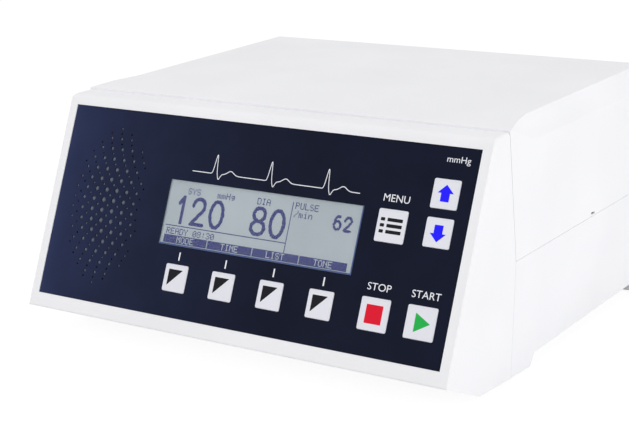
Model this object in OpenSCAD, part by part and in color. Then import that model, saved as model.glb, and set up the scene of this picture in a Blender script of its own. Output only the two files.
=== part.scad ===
// Desktop blood-pressure monitor: a sloping keypad front with a dot display and a loudspeaker,
// a two-part instrument housing, an air pump with valves, and connectors on a recessed rear panel.
// Origin: on the ground under the middle of the housing. X runs right along the front,
// Y runs back and Z runs up. All sizes are in millimetres and angles in degrees.

/* [Front panel] */
// Height of the front plate along its slope
panel_h = 117; // [112:1:130]
// Lean of the front plate back from upright
panel_tilt = 24.3; // [20:0.1:28]
// Thickness of the front plate
plate_t = 2; // [1.5:0.1:3]
// Thickness of the printed foil on the front plate
foil_t = 0.5; // [0.3:0.1:0.8]
// Height of the frame's rim above the foil
rim_proud = 0.5; // [0.2:0.1:1]
// Width of the ledge that the front plate rests on
ledge_w = 4; // [3:0.5:5]
// Thickness of that ledge
ledge_t = 2.5; // [2:0.1:4]

/* [Front frame] */
// Width of the rim at each side of the front plate
rim_side = 6; // [5:0.5:9]
// Width of the rim above the front plate
rim_top = 6.1; // [5.5:0.1:9]
// Width of the rim below the front plate
rim_bottom = 8.7; // [6:0.1:12]
// Height of the rim's lower edge above the ground
chin_z = 20.7; // [17:0.1:26]
// Depth from the foremost edge to the seam
frame_d = 71; // [66:1:80]
// Radius between the face and the top
brow_r = 5.5; // [3:0.5:8]
// Radius of the upright edges of the face
cheek_r = 1.2; // [0.8:0.1:3]

/* [Housing] */
// Depth of the whole housing
body_d = 268; // [255:1:290]
// Height of the line between cover and shell
parting_z = 70.5; // [64:0.5:78]
// How much wider each side is at the parting line than at the top
bulge_top = 4; // [2:0.5:7]
// How much wider each side is at the parting line than at the ground
bulge_base = 3; // [1:0.5:6]
// Wall thickness of the mouldings
wall = 3; // [2.4:0.1:3.6]
// Gap of the joint lines between mouldings
seam_gap = 0.3; // [0.2:0.05:0.5]
// Gap at the parting line between the cover and the shell
parting_gap = 0.16; // [0.1:0.02:0.4]
// Height of the cover's front edge above the frame
cover_step = 1; // [0.6:0.1:1.6]
// Further rise of the cover behind that edge
cover_rise = 1.5; // [0.8:0.1:2.5]
// Length of that rising strip
strip_d = 18; // [12:1:24]
// Width of the slanted shoulders, seen from above
shoulder_w = 8; // [6:0.5:14]
// Drop of the slanted shoulders
shoulder_h = 11.4; // [8:0.2:14]
// Distance behind the low front strip at which a shoulder has its full width
shoulder_lead = 17; // [8:0.5:24]
// Length over which a shoulder widens from nothing
shoulder_run = 34; // [16:1:34.5]
// Radius of the long top edges
edge_r = 2.5; // [2:0.5:4]

// Distance of the small release slots behind the middle
latch_y = 37.6; // [20:0.2:60]
// Width of a release slot
latch_w = 4.5; // [3:0.1:8]
// Height of a release slot above the parting line
latch_h = 1.4; // [1:0.1:3]
// Height of the latch slots above the parting line
latch_rise = 1; // [0.6:0.1:3]
// Depth of the latch slots
latch_d = 2.2; // [1:0.1:2.4]

/* [Feet] */
// Height of the shell's underside above the ground
belly_z = 8.5; // [7:0.5:11]
// Height of the foot ridges above the ground
ridge_z = 1.1; // [0.7:0.1:1.6]
// Distance from the foremost edge back to the keel of the frame
keel_y = 34.8; // [30:0.2:40]
// Height of that keel above the ground
keel_z = 5; // [4:0.1:6.4]
// Distance from the foremost edge to the back of the front ridge
ridge_end = 94.5; // [90:0.5:102]
// Length of the rear ridge
rear_ridge_d = 22; // [22:1:40]
// Run of the slanted step behind each ridge
ridge_step = 6; // [4:0.5:9]
// Diameter of the rubber feet
foot_d = 14; // [10:1:16]
// Depth of the recess that holds a rubber foot
foot_recess = 1.5; // [1:0.1:2]

/* [Keys] */
// Distance between the display window and the key columns
keys_gap = 9.7; // [8:0.1:14]
// Side of the four soft keys and the arrow keys
key_small = 16; // [14:0.5:17]
// Side of the menu, stop and start keys
key_large = 18; // [16:0.5:19]
// Corner radius of the keys
key_r = 1; // [0.6:0.1:1.6]
// Gap round a key in its window
key_gap = 0.15; // [0.1:0.05:0.25]
// Height of the key faces above the foil
key_proud = 0.35; // [0.2:0.05:0.8]
// Travel of a key
key_travel = 0.5; // [0.3:0.05:0.6]
// Width of the flange that keeps a key behind the plate
key_flange = 1.1; // [0.8:0.1:1.4]
// Thickness of that flange
flange_t = 0.8; // [0.6:0.1:1]
// Distance between soft keys
soft_gap = 17.1; // [8:0.1:18]
// Distance between the display window and the soft keys below it
row_gap = 10.7; // [9.5:0.1:12]
// Distance between the arrow keys and the plate's right edge
keys_edge = 7.5; // [6.5:0.1:10]
// Distance between the keys of the two columns
col_gap = 10.5; // [6:0.1:14]
// Height of the menu and down keys above the plate's middle
menu_rise = 12.3; // [8:0.1:14]
// Distance between the arrow keys
arrow_gap = 4.8; // [3:0.1:6]

/* [Display] */
// Width of the display window
window_w = 132; // [124:1:134]
// Height of the display window
window_h = 38; // [34:1:40]
// Distance between the loudspeaker and the window
window_gap = 10.8; // [9:0.1:16]
// Height of the window's middle above the plate's middle
window_y = 2; // [0:0.1:3]
// Rim of the display's metal bezel round the window
bezel_rim = 4; // [3:0.5:5]
// Depth of the display's bezel
display_t = 6; // [5:0.5:8]
// Thickness of the display glass
glass_t = 2.2; // [1.5:0.1:3]

/* [Loudspeaker] */
// Diameter of the loudspeaker
speaker_d = 66; // [60:1:68]
// Distance of the loudspeaker from the plate's left edge
speaker_edge = 5.5; // [5:0.5:12]
// Depth of the loudspeaker's basket
speaker_depth = 20; // [16:1:24]
// Distance between the arcs of holes in the grille
grille_pitch = 7.6; // [7:0.1:9]
// Distance between the holes of one arc
hole_pitch = 6.25; // [5.8:0.05:7]
// Diameter of the largest hole
hole_max = 3.2; // [2.4:0.1:3.6]
// Diameter of the smallest hole
hole_min = 1.2; // [0.9:0.1:1.5]

/* [Rear panel] */
// Depth of the recess in front of the rear panel
rear_recess = 14; // [12:1:18]
// Thickness of the rear panel
rear_t = 2; // [1.5:0.1:3]
// Length of the cuff nipple outside the panel
nipple_l = 11; // [8:0.5:12]
// Diameter of the cuff nipple
nipple_d = 7; // [5:0.5:8]
// Diameter of the microphone socket's hole
jack_d = 6.4; // [6:0.1:7]
// Diameter of the earth pin
earth_d = 6; // [5:0.5:8]
// Length of the earth pin outside the panel
earth_l = 10; // [8:0.5:12]

/* [Inside] */
// Thickness of the circuit boards
board_t = 1.6; // [1:0.1:2]
// Height of the main boards above the shell's floor
board_rise = 7; // [5:0.5:10]
// Length of the main board
board_l = 128; // [110:1:136]
// Width of the main board
board_w = 132; // [120:1:138]
// Length of the power board
power_l = 118; // [100:1:126]
// Width of the power board
power_w = 56; // [50:1:58]
// Diameter of the pump's motor
motor_d = 27; // [22:1:30]
// Length of the pump's motor
motor_l = 40; // [34:1:44]
// Side of the pump's head
head_s = 32; // [30:1:36]
// Diameter of the motor shaft
shaft_d = 3; // [2:0.5:4]
// Outer diameter of the air hoses
hose_d = 6; // [5:0.5:7]
// Wall thickness of the air hoses
hose_wall = 0.8; // [0.6:0.1:1.2]
// Bend radius of the air hoses
hose_bend = 12; // [9:1:14]
// Travel of the valve plungers
valve_travel = 1.2; // [0.8:0.1:1.6]
// Diameter of the fixing screws' heads
screw_head = 6; // [5:0.5:7]
// Diameter of the fixing screws' threads
screw_d = 3; // [2.5:0.1:3.5]

/* [Hidden] */
eps = 0.01;
run_gap = 0.05;   // radial gap round a part that turns or slides
thread_gap = 0.03; // radial gap round a thread in its hole
slip_gap = 0.1;   // gap round a part that is dropped into its place
skin_gap = 0.2;   // gap beside a part that is pushed in
arc_steps = 6;
round_fn = 48;
small_fn = 24;
far = 400;        // longer than anything in the housing

// ---- Colours
shell_white = [0.93, 0.94, 0.93];
foil_navy = [0.10, 0.12, 0.23];
key_white = [0.88, 0.88, 0.90];
metal = [0.75, 0.76, 0.78];
steel = [0.62, 0.63, 0.66];
black = [0.08, 0.08, 0.09];
board_green = [0.08, 0.36, 0.20];
brass = [0.80, 0.66, 0.34];

// ---- Plane geometry
function unit(v) = v / norm(v);
function cross2(a, b) = a.x * b.y - a.y * b.x;

// The point where the line through p along u meets the line through q along v
function meet(p, u, q, v) = p + u * cross2(q - p, v) / cross2(u, v);

// The arc of radius r that rounds the corner b between a and c
function fillet(a, b, c, r) =
    let (u = unit(a - b), v = unit(c - b), half = acos(u * v) / 2,
         centre = b + unit(u + v) * r / sin(half),
         p = b + u * r / tan(half) - centre, q = b + v * r / tan(half) - centre,
         start = atan2(p.y, p.x), turn = atan2(q.y, q.x) - start,
         sweep = turn > 180 ? turn - 360 : turn < -180 ? turn + 360 : turn)
    [for (i = [0 : arc_steps])
        centre + r * [cos(start + sweep * i / arc_steps), sin(start + sweep * i / arc_steps)]];

// The outline of corners written as [x, y, radius]
function rounded(corners) =
    [for (i = [0 : len(corners) - 1])
        let (m = len(corners), c = corners[i], p = corners[(i + m - 1) % m], q = corners[(i + 1) % m])
        each c.z > 0 ? fillet([p.x, p.y], [c.x, c.y], [q.x, q.y], c.z) : [[c.x, c.y]]];

// A polygon drawn anticlockwise with its edge i moved inwards by walls[i]
function inset(pts, walls) =
    [for (i = [0 : len(pts) - 1])
        let (m = len(pts), a = pts[(i + m - 1) % m], b = pts[i], c = pts[(i + 1) % m],
             u = unit([b.x - a.x, b.y - a.y]), v = unit([c.x - b.x, c.y - b.y]))
        meet([a.x, a.y] + walls[(i + m - 1) % m] * [-u.y, u.x], u, [b.x, b.y] + walls[i] * [-v.y, v.x], v)];

// ---- Main stations of the front panel, x from its middle
soft_pitch = key_small + soft_gap;
arrow_pitch = key_small + arrow_gap;
col_pitch = (key_large + max(key_small, key_large)) / 2 + col_gap;
col_right = max(key_small, key_large) / 2 + keys_edge;
panel_w = speaker_edge + speaker_d + window_gap + window_w + keys_gap + key_large / 2 + col_pitch + col_right;
speaker_px = speaker_edge + speaker_d / 2 - panel_w / 2;
window_x = speaker_px + speaker_d / 2 + window_gap + window_w / 2;
col_x = panel_w / 2 - col_right;
row_y = window_y - window_h / 2 - row_gap - key_small / 2;

// ---- Main stations of the housing
face_l = rim_bottom + panel_h + rim_top;
top_w = panel_w + 2 * rim_side;
body_w = top_w + 2 * bulge_top;
frame_top = chin_z + face_l * cos(panel_tilt);
cover_front = frame_top + cover_step;
body_h = cover_front + cover_rise;
front_y = -body_d / 2;
rear_y = body_d / 2;
seam_y = front_y + frame_d;
strip_y = seam_y + strip_d;
brow_y = front_y + face_l * sin(panel_tilt);
keel = front_y + keel_y;
ridge_back = front_y + ridge_end;
rear_ridge_front = rear_y - rear_ridge_d;
floor_z = belly_z + wall;
plate_depth = foil_t + plate_t;
face_wall = rim_proud + plate_depth + ledge_t;

// Half the outer width at height z
function half_w(z) = z > parting_z
    ? body_w / 2 - bulge_top * (z - parting_z) / (frame_top - parting_z)
    : body_w / 2 - bulge_base * (parting_z - z) / parting_z;

// Height of the front foot's underside at y
function keel_line(y) = keel_z + (ridge_z - keel_z) * (y - keel) / (ridge_back - keel);

// ---- Placing helpers
// Panel space: x right and y up from the middle of the foil's face, z out of the panel
panel_origin = [0,
    front_y + (rim_bottom + panel_h / 2) * sin(panel_tilt) + rim_proud * cos(panel_tilt),
    chin_z + (rim_bottom + panel_h / 2) * cos(panel_tilt) - rim_proud * sin(panel_tilt)];
module on_panel() {
    translate(panel_origin) rotate([90 - panel_tilt, 0, 0]) children();
}

// Extrudes a [Y, Z] outline across the whole width, or from x0 over the length l
module across(pts, l = far, x0 = -far / 2) {
    translate([x0, 0, 0]) rotate([90, 0, 90]) linear_extrude(l) polygon(pts);
}

// Extrudes an [X, Z] outline from y0 back to y1
module backwards(pts, y0, y1) {
    translate([0, y1, 0]) rotate([90, 0, 0]) linear_extrude(y1 - y0) polygon(pts);
}

// A box centred on x and y that rises from z0 to z1
module block(x, y, w, d, z0, z1) {
    translate([x - w / 2, y - d / 2, z0]) cube([w, d, z1 - z0]);
}

// A square plate with rounded corners, centred on x and y, from z0 to z1
module soft_block(w, d, r, z0, z1) {
    translate([0, 0, z0]) linear_extrude(z1 - z0)
        polygon(rounded([[-w / 2, -d / 2, r], [w / 2, -d / 2, r], [w / 2, d / 2, r], [-w / 2, d / 2, r]]));
}

module rod(d, z0, z1) {
    translate([0, 0, z0]) cylinder(d = d, h = z1 - z0, $fn = round_fn);
}

// Rod along Y between y0 and y1 at x, z
module rod_y(x, z, d, y0, y1) {
    translate([x, y1, z]) rotate([90, 0, 0]) cylinder(d = d, h = y1 - y0, $fn = round_fn);
}

module pair() {
    children();
    mirror([1, 0, 0]) children();
}

// A cross-slotted screw: head from z = 0 up, thread from z = 0 down
module screw(l, head = screw_head, d = screw_d) {
    head_h = head * 0.4;
    difference() {
        union() {
            rod(head, 0, head_h);
            rod(d, -l, eps);
        }
        block(0, 0, head * 0.6, head * 0.14, head_h * 0.5, head_h + 1);
        block(0, 0, head * 0.14, head * 0.6, head_h * 0.5, head_h + 1);
    }
}

// ---- Keys
soft_x = window_x + 0.6;
keys = [
    [soft_x - 1.5 * soft_pitch, row_y, key_small], [soft_x - 0.5 * soft_pitch, row_y, key_small],
    [soft_x + 0.5 * soft_pitch, row_y, key_small], [soft_x + 1.5 * soft_pitch, row_y, key_small],
    [col_x - col_pitch, menu_rise, key_large],
    [col_x, menu_rise + arrow_pitch, key_small], [col_x, menu_rise, key_small],
    [col_x - col_pitch, row_y, key_large], [col_x, row_y, key_large]
];
flange_top = -plate_depth - slip_gap;
stem_end = flange_top - flange_t - 0.5;
dome_top = stem_end - key_travel - 0.1;
dome_h = 0.8;
dome_d = 8;
keypad_top = dome_top - dome_h;
keypad_bottom = keypad_top - board_t;

module key(i) {
    color(key_white) on_panel() translate([keys[i].x, keys[i].y, 0]) {
        s = keys[i].z;
        soft_block(s, s, key_r, flange_top - eps, key_proud);
        soft_block(s + 2 * key_flange, s + 2 * key_flange, key_r, flange_top - flange_t, flange_top);
        rod(4, stem_end, flange_top - flange_t + eps);
    }
}

module key_windows(z0, z1) {
    for (k = keys) translate([k.x, k.y, 0])
        soft_block(k.z + 2 * key_gap, k.z + 2 * key_gap, key_r + key_gap, z0, z1);
}

// ---- Loudspeaker grille
grille_bow = 0.012;
arc_count = 7;
grille_half_w = 27;
grille_half_h = 47;
function grille_out(x, y) =
    norm([(x - speaker_px) / grille_half_w, y / grille_half_h]);
function hole_size(x, y, big) =
    let (fade = 1 - 0.55 * pow(grille_out(x, y), 2))
    max(hole_min, fade * (big ? hole_max : hole_max * 0.56));
grille_holes = [
    for (i = [-1 : arc_count - 1], k = [-8 : 7])
        let (y = hole_pitch * (k + 0.5), x = speaker_px - 26.5 + grille_pitch * i + grille_bow * y * y)
        if (grille_out(x, y) < 1) [x, y, hole_size(x, y, true)],
    for (i = [-1 : arc_count - 1], k = [-7 : 7])
        let (y = hole_pitch * k, x = speaker_px - 26.5 + grille_pitch * (i + 0.5) + grille_bow * y * y)
        if (grille_out(x, y) < 1) [x, y, hole_size(x, y, false)]
];
module grille(z0, z1) {
    for (h = grille_holes)
        translate([h.x, h.y, z0]) cylinder(d = h.z, h = z1 - z0, $fn = 16);
}

// ---- Front frame
frame_side = [
    [front_y, chin_z, 1.2], [keel, keel_z, 2], [seam_y - seam_gap / 2, keel_line(seam_y), 0],
    [seam_y - seam_gap / 2, frame_top, 0], [brow_y, frame_top, brow_r]
];
frame_bore = inset(frame_side, [wall, wall, -1, wall, face_wall]);
lug_d = 10;
lug_x = 0.36 * body_w;
lug_drop = 9;
lug_h = 14;

// The housing's cross-section at one station, inset by t, up to the height z1
function full_section(t, z0, z1, r) = rounded([
    [half_w(z0) - t, z0, 0], [half_w(parting_z) - t, parting_z, 0], [half_w(z1) - t, z1, r],
    [-half_w(z1) + t, z1, r], [-half_w(parting_z) + t, parting_z, 0], [-half_w(z0) + t, z0, 0]]);

// The block between the face's upright edges and the kinked seam outline, inset by t
module flare(t) {
    edge = max(cheek_r - t, 0.5);
    corner = max(edge_r - t, 0.5);
    over = 0.2;
    hull() {
        backwards(full_section(t, -far / 40, frame_top + over - t, corner), seam_y - 1, seam_y);
        pair() on_panel() translate([top_w / 2 - edge - t, -far / 4, rim_proud + over - edge - t])
            rotate([-90, 0, 0])
                cylinder(r = edge, h = far / 4 + panel_h / 2 + rim_top - brow_r / 4, $fn = 32);
        pair() translate([top_w / 2 - corner - t, brow_y + corner, frame_top + over - corner - t])
            sphere(r = corner, $fn = 32);
    }
}

module frame_lugs() {
    pair() {
        block(lug_x, seam_y - lug_d / 2 - 1, lug_d, lug_d, frame_top - wall - lug_h, frame_top - 1);
        block(lug_x, seam_y - lug_d / 2 - 1, lug_d, lug_d, keel_line(seam_y) + 1,
            keel_line(seam_y) + wall + lug_h);
    }
}
lug_high = frame_top - wall - lug_drop;
lug_low = keel_line(seam_y) + wall + lug_drop;

module front_frame() color(shell_white) difference() {
    union() {
        difference() {
            intersection() {
                across(rounded(frame_side));
                flare(0);
            }
            intersection() {
                across(frame_bore);
                flare(wall);
            }
        }
        intersection() {
            frame_lugs();
            flare(1);
        }
    }
    on_panel() {
        block(0, 0, panel_w + 2 * slip_gap, panel_h + 2 * slip_gap, -plate_depth, rim_proud + 20);
        block(0, 0, panel_w - 2 * ledge_w, panel_h - 2 * ledge_w, -plate_depth - ledge_t - 4, 1);
    }
    pair() for (z = [lug_high, lug_low]) rod_y(lug_x, z, screw_d + 2 * thread_gap, seam_y - 9, seam_y + 1);
}

// ---- Front plate and foil
module front_plate() color(metal) on_panel() difference() {
    block(0, 0, panel_w, panel_h, -plate_depth, -foil_t);
    translate([window_x, window_y, 0])
        block(0, 0, bezel_w + 2 * slip_gap, bezel_h + 2 * slip_gap, -plate_depth - 1, 1);
    key_windows(-plate_depth - 1, 1);
    grille(-plate_depth - 1, 1);
}

module front_foil() color(foil_navy) on_panel() difference() {
    block(0, 0, panel_w, panel_h, -foil_t, 0);
    translate([window_x, window_y, 0])
        block(0, 0, window_w + 2 * slip_gap, window_h + 2 * slip_gap, -foil_t - 1, 1);
    key_windows(-foil_t - 1, 1);
    grille(-foil_t - 1, 1);
}

// ---- Display
bezel_lip = 0.3;
bezel_front = -foil_t - slip_gap;
bezel_back = bezel_front - display_t;
bezel_w = window_w + 2 * bezel_rim;
bezel_h = window_h + 2 * bezel_rim + 4;
glass_front = bezel_front - bezel_lip;
glass_back = glass_front - glass_t;
glass_w = bezel_w - 2.4;
glass_h = bezel_h - 2.4;
display_w = bezel_w + 12;
display_h = bezel_h + 5;
display_post = [display_w / 2 - 3.5, display_h / 2 - 3.5];
display_back = bezel_back - board_t;

// ---- Keypad
keypad_left = window_x + display_w / 2 + 0.5;
keypad_right = panel_w / 2 - ledge_w - 2;
keypad_high = menu_rise + arrow_pitch + 11;
keypad_low = -panel_h / 2 + ledge_w + 5;
strip_left = keys[0].x - 16;
strip_high = row_y + key_small / 2 + 1;
spacer_d = 4;
keypad_posts = [
    [strip_left + 3, row_y], [keys[1].x + soft_pitch / 2, row_y],
    [keypad_left + 3.5, keypad_high - 4], [col_x - col_pitch / 2, row_y],
    [(keys[3].x + key_small / 2 + keys[7].x - key_large / 2) / 2, row_y],
    [keypad_right - 4, (menu_rise + row_y) / 2]
];

dome_r = (dome_h * dome_h + dome_d * dome_d / 4) / (2 * dome_h);
module snap_domes() color(steel) on_panel()
    for (k = keys) translate([k.x, k.y, 0]) rotate_extrude($fn = round_fn)
        polygon(concat([[0, keypad_top]], [for (i = [0 : arc_steps])
            let (a = asin(dome_d / 2 / dome_r) * (1 - i / arc_steps))
            [dome_r * sin(a), dome_top - dome_r + dome_r * cos(a)]]));

module keypad_board() color(board_green) on_panel() difference() {
    translate([0, 0, keypad_bottom]) linear_extrude(board_t) polygon([
        [strip_left, keypad_low], [keypad_right, keypad_low], [keypad_right, keypad_high],
        [keypad_left, keypad_high], [keypad_left, strip_high], [strip_left, strip_high]]);
    for (p = keypad_posts) translate([p.x, p.y, 0]) rod(screw_d - 0.3, keypad_bottom - 1, 1);
}

module keypad_spacers() color(brass) on_panel()
    for (p = keypad_posts) translate([p.x, p.y, 0]) {
        rod(spacer_d, keypad_top, -plate_depth);
        rod(screw_d - 0.5, keypad_bottom - 1.4, keypad_top + eps);
        rod(spacer_d, keypad_bottom - 1.4, keypad_bottom);
    }

// ---- Display pieces
module at_window() {
    on_panel() translate([window_x, window_y, 0]) children();
}

module display_window() color([0.75, 0.80, 0.80, 0.4]) at_window()
    block(0, 0, window_w, window_h, -foil_t, -0.05);

module display_bezel() color(steel) at_window() difference() {
    block(0, 0, bezel_w, bezel_h, bezel_back, bezel_front);
    block(0, 0, glass_w + skin_gap, glass_h + skin_gap, bezel_back - 1, glass_front);
    block(0, 0, window_w + 2, window_h + 2, bezel_back - 1, bezel_front + 1);
}

module display_glass() color([0.62, 0.69, 0.67]) at_window()
    block(0, 0, glass_w, glass_h, glass_back, glass_front);

module display_backlight() color([0.92, 0.93, 0.95]) at_window()
    block(0, 0, glass_w, glass_h, bezel_back, glass_back);

module display_board() color(board_green) at_window() difference() {
    block(0, 0, display_w, display_h, display_back, bezel_back);
    for (x = [-1, 1], y = [-1, 1])
        translate([x * display_post.x, y * display_post.y, 0]) rod(screw_d - 0.3, display_back - 1, 1);
}

module display_spacers() color(brass) at_window()
    for (x = [-1, 1], y = [-1, 1]) translate([x * display_post.x, y * display_post.y, 0]) {
        rod(spacer_d, bezel_back, -plate_depth);
        rod(screw_d - 0.5, display_back - 1.4, bezel_back + eps);
        rod(spacer_d, display_back - 1.4, display_back);
    }

// ---- Loudspeaker
cloth_t = 0.6;
speaker_front = -plate_depth - cloth_t;
basket_flange = 2;
cone_d = speaker_d - 12;
magnet_d = 0.55 * speaker_d;
magnet_t = 9;
cone_back = speaker_front - speaker_depth;
coil_d = 16;

module at_speaker() {
    on_panel() translate([speaker_px, 0, 0]) children();
}

module speaker_cloth() color(black) at_speaker()
    block(0, 0, 2 * grille_half_w - 3, panel_h - 2 * ledge_w - 11, speaker_front, -plate_depth);

module speaker_basket() color(steel) at_speaker() rotate_extrude($fn = round_fn) polygon([
    [cone_d / 2 + 1.5, speaker_front], [speaker_d / 2, speaker_front],
    [speaker_d / 2, speaker_front - basket_flange], [speaker_d / 2 - 3, speaker_front - basket_flange],
    [coil_d / 2 + 5, cone_back + 1.5], [coil_d / 2 + 5, cone_back], [coil_d / 2 + 1, cone_back],
    [coil_d / 2 + 1, cone_back + 1.5], [cone_d / 2 + 1.5, speaker_front - basket_flange]]);

module speaker_cone() color([0.14, 0.14, 0.15]) at_speaker() rotate_extrude($fn = round_fn) polygon([
    [cone_d / 2 + 1.1, speaker_front - 1.2], [cone_d / 2 + 1.1, speaker_front - 1.7],
    [cone_d / 2 - 2, speaker_front - 2.6], [coil_d / 2, speaker_front - speaker_depth * 0.55],
    [coil_d / 2, cone_back + 0.8], [coil_d / 2 - 0.6, cone_back + 0.8],
    [coil_d / 2 - 0.6, speaker_front - speaker_depth * 0.55 + 1.4], [0, speaker_front - speaker_depth * 0.4],
    [0, speaker_front - speaker_depth * 0.4 + 0.5], [coil_d / 2 - 0.2, speaker_front - speaker_depth * 0.5 + 1.6],
    [cone_d / 2 - 2.2, speaker_front - 2.1]]);

module speaker_magnet() color(black) at_speaker() {
    rod(magnet_d, cone_back - magnet_t, cone_back);
    rod(magnet_d * 0.8, cone_back - magnet_t - 2, cone_back - magnet_t + eps);
}

clip_post = 4;
clip_head = 8;
clip_t = 1.2;
clip_r = speaker_d / 2 + clip_post / 2 + skin_gap;
module speaker_clips() color(metal) at_speaker()
    for (a = [36, 144, 216, 324]) translate([clip_r * cos(a), clip_r * sin(a), 0]) {
        rod(clip_post, speaker_front - basket_flange - eps, -plate_depth);
        rod(clip_head, speaker_front - basket_flange - clip_t, speaker_front - basket_flange);
    }

// ---- Housing mouldings
cover_side = [
    [seam_y + seam_gap / 2, parting_z + parting_gap / 2], [rear_y, parting_z + parting_gap / 2],
    [rear_y, body_h], [strip_y, body_h], [seam_y + seam_gap / 2, cover_front]
];
cover_bore = inset(cover_side, [-1, -1, wall, wall, -1]);
shell_side = [
    [seam_y + seam_gap / 2, keel_line(seam_y)], [ridge_back, ridge_z], [ridge_back + ridge_step, belly_z],
    [rear_ridge_front - ridge_step, belly_z], [rear_ridge_front, ridge_z], [rear_y, ridge_z],
    [rear_y, parting_z - parting_gap / 2], [seam_y + seam_gap / 2, parting_z - parting_gap / 2]
];
shell_bore = inset(shell_side, [wall, wall, wall, wall, wall, -1, -1, -1]);

// The slanted shoulder is cut by two planes that meet at its peak: its own, and one that fades it in
// from the tip on the front edge to the foot on the side wall
shoulder_peak = [top_w / 2 - shoulder_w, strip_y + shoulder_lead, body_h];
shoulder_tip = [top_w / 2, shoulder_peak.y - shoulder_run, cover_front];
shoulder_foot = shoulder_peak + [shoulder_w, -shoulder_run / 7, -shoulder_h];
shoulder_normal = unit([shoulder_h, 0, shoulder_w]);
shoulder_fade_normal = unit(cross(shoulder_tip - shoulder_peak, shoulder_foot - shoulder_peak));

// Everything on the side of the plane at p that n points to
module half_space(p, n) {
    translate(p) rotate([0, acos(n.z), atan2(n.y, n.x)]) translate([-far / 2, -far / 2, 0]) cube(far);
}

module shoulder_cut(t) {
    pair() intersection() {
        half_space(shoulder_peak - t * shoulder_normal, shoulder_normal);
        half_space(shoulder_peak - t * shoulder_fade_normal, shoulder_fade_normal);
    }
}

module cover_solid(t, side) {
    difference() {
        intersection() {
            across(side);
            backwards(full_section(t, 0, body_h + 0.2 - t, max(edge_r - t, 0.5)), seam_y - 2, rear_y + 2);
        }
        shoulder_cut(t);
    }
}

panel_y = rear_y - rear_recess;     // the rear panel's outer face
rib = 2.5;
post_d = 9;
post_x = body_w / 2 - 15;
post_front = strip_y - 5;
post_rear = panel_y - rear_t - rib - post_d;
post_split = parting_z - 10;
head_seat = post_split - 8;
posts = [[-post_x, post_front], [post_x, post_front], [-post_x, post_rear], [post_x, post_rear]];

// Two ribs round the inside that hold the rear panel between them
module panel_groove() {
    difference() {
        backwards(full_section(wall - 0.5, 0, body_h, 0.5), panel_y - rear_t - rib, panel_y + rib);
        backwards(full_section(wall + rib, ridge_z + wall + rib, body_h - wall - rib, 0.5),
            panel_y - rear_t - rib - 1, panel_y + rib + 1);
        backwards(full_section(wall, 0, body_h, 0.5), panel_y - rear_t - slip_gap, panel_y + slip_gap);
    }
}

module lug_tab(z, z0, z1) {
    pair() difference() {
        union() {
            block(lug_x, seam_y + 2.2, lug_d, 3.6, z0, z1);
            block(lug_x, seam_y, lug_d, 2, z - lug_d / 2, z + lug_d / 2);
        }
        rod_y(lug_x, z, screw_d + 0.4, seam_y - 3, seam_y + 6);
    }
}

module top_cover() color(shell_white) difference() {
    union() {
        difference() {
            cover_solid(0, cover_side);
            cover_solid(wall, cover_bore);
        }
        intersection() {
            cover_solid(1, cover_side);
            union() {
                for (p = posts) translate([p.x, p.y, 0]) rod(post_d, post_split, body_h);
                panel_groove();
                lug_tab(lug_high, lug_high - lug_d / 2, body_h);
            }
        }
        lug_tab(lug_high, lug_high - lug_d / 2, cover_front - wall);
    }
    for (p = posts) translate([p.x, p.y, 0]) rod(screw_d + 2 * thread_gap, post_split - 1, post_split + 14);
    pair() block(body_w / 2, latch_y, 2 * latch_d, latch_w, parting_z + latch_rise,
        parting_z + latch_rise + latch_h);
}

hose_bore = hose_d - 2 * hose_wall;
barb_d = hose_bore - 2 * thread_gap;
board_thread = screw_d - 0.4;
board_z = floor_z + board_rise;
board_top = board_z + board_t;
board_rear = panel_y - rear_t - rib - 3.5;
board_side = body_w / 2 - bulge_base - wall - 17;
main_x = board_l / 2 - board_side;
main_y = board_rear - board_w / 2;
power_x = board_side - power_w / 2;
power_y = board_rear - 6 - power_l / 2;
function corners(x, y, w, d, in) =
    [for (a = [-1, 1], b = [-1, 1]) [x + a * (w / 2 - in), y + b * (d / 2 - in)]];
board_posts = concat(corners(main_x, main_y, board_l, board_w, 5), corners(power_x, power_y, power_w, power_l, 5));

module shell_solid(t, side) {
    intersection() {
        across(side);
        backwards(full_section(t, -1, body_h, 1), seam_y - 2, rear_y + 2);
    }
}

lip = 1.4;
module shell_lip(y0, y1) {
    difference() {
        backwards(full_section(wall + skin_gap, 0, body_h, 1), y0, y1);
        backwards(full_section(wall + skin_gap + lip, -1, body_h, 1), y0 - 1, y1 + 1);
        block(0, 0, far, far, -1, parting_z - 4);
        block(0, 0, far, far, parting_z + 2.5, far);
    }
    difference() {
        backwards(full_section(wall - 0.5, 0, body_h, 1), y0, y1);
        backwards(full_section(wall + skin_gap + lip, -1, body_h, 1), y0 - 1, y1 + 1);
        block(0, 0, far, far, -1, parting_z - 4);
        block(0, 0, far, far, parting_z - parting_gap / 2, far);
    }
}

feet = [[-1, ridge_back - foot_d / 2 - 1.5], [1, ridge_back - foot_d / 2 - 1.5],
    [-1, rear_y - rear_ridge_d / 2], [1, rear_y - rear_ridge_d / 2]];
foot_x = post_x - 20;

block_d = 18;
block_h = 24;
block_y = board_rear - 14 - block_d / 2;
valve_l = 15;
pump_x = main_x + board_l / 2 + head_s / 2 + 8;
pump_z = floor_z + 22;
pump_y = block_y - block_d / 2 - valve_l - motor_l - 5;   // the face between head and motor
head_l = 24;
bracket_t = 2;
bracket_posts = corners(pump_x, pump_y + motor_l / 2, head_s + 14, motor_l - 8, 4);
block_w = head_s + 16;
block_x = pump_x - head_s / 2 + block_w / 2 + 4;
block_z = floor_z + 8;
block_top = block_z + block_h;
block_posts = [[block_x - block_w / 2 + 5, block_y], [block_x + block_w / 2 - 5, block_y]];

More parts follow.
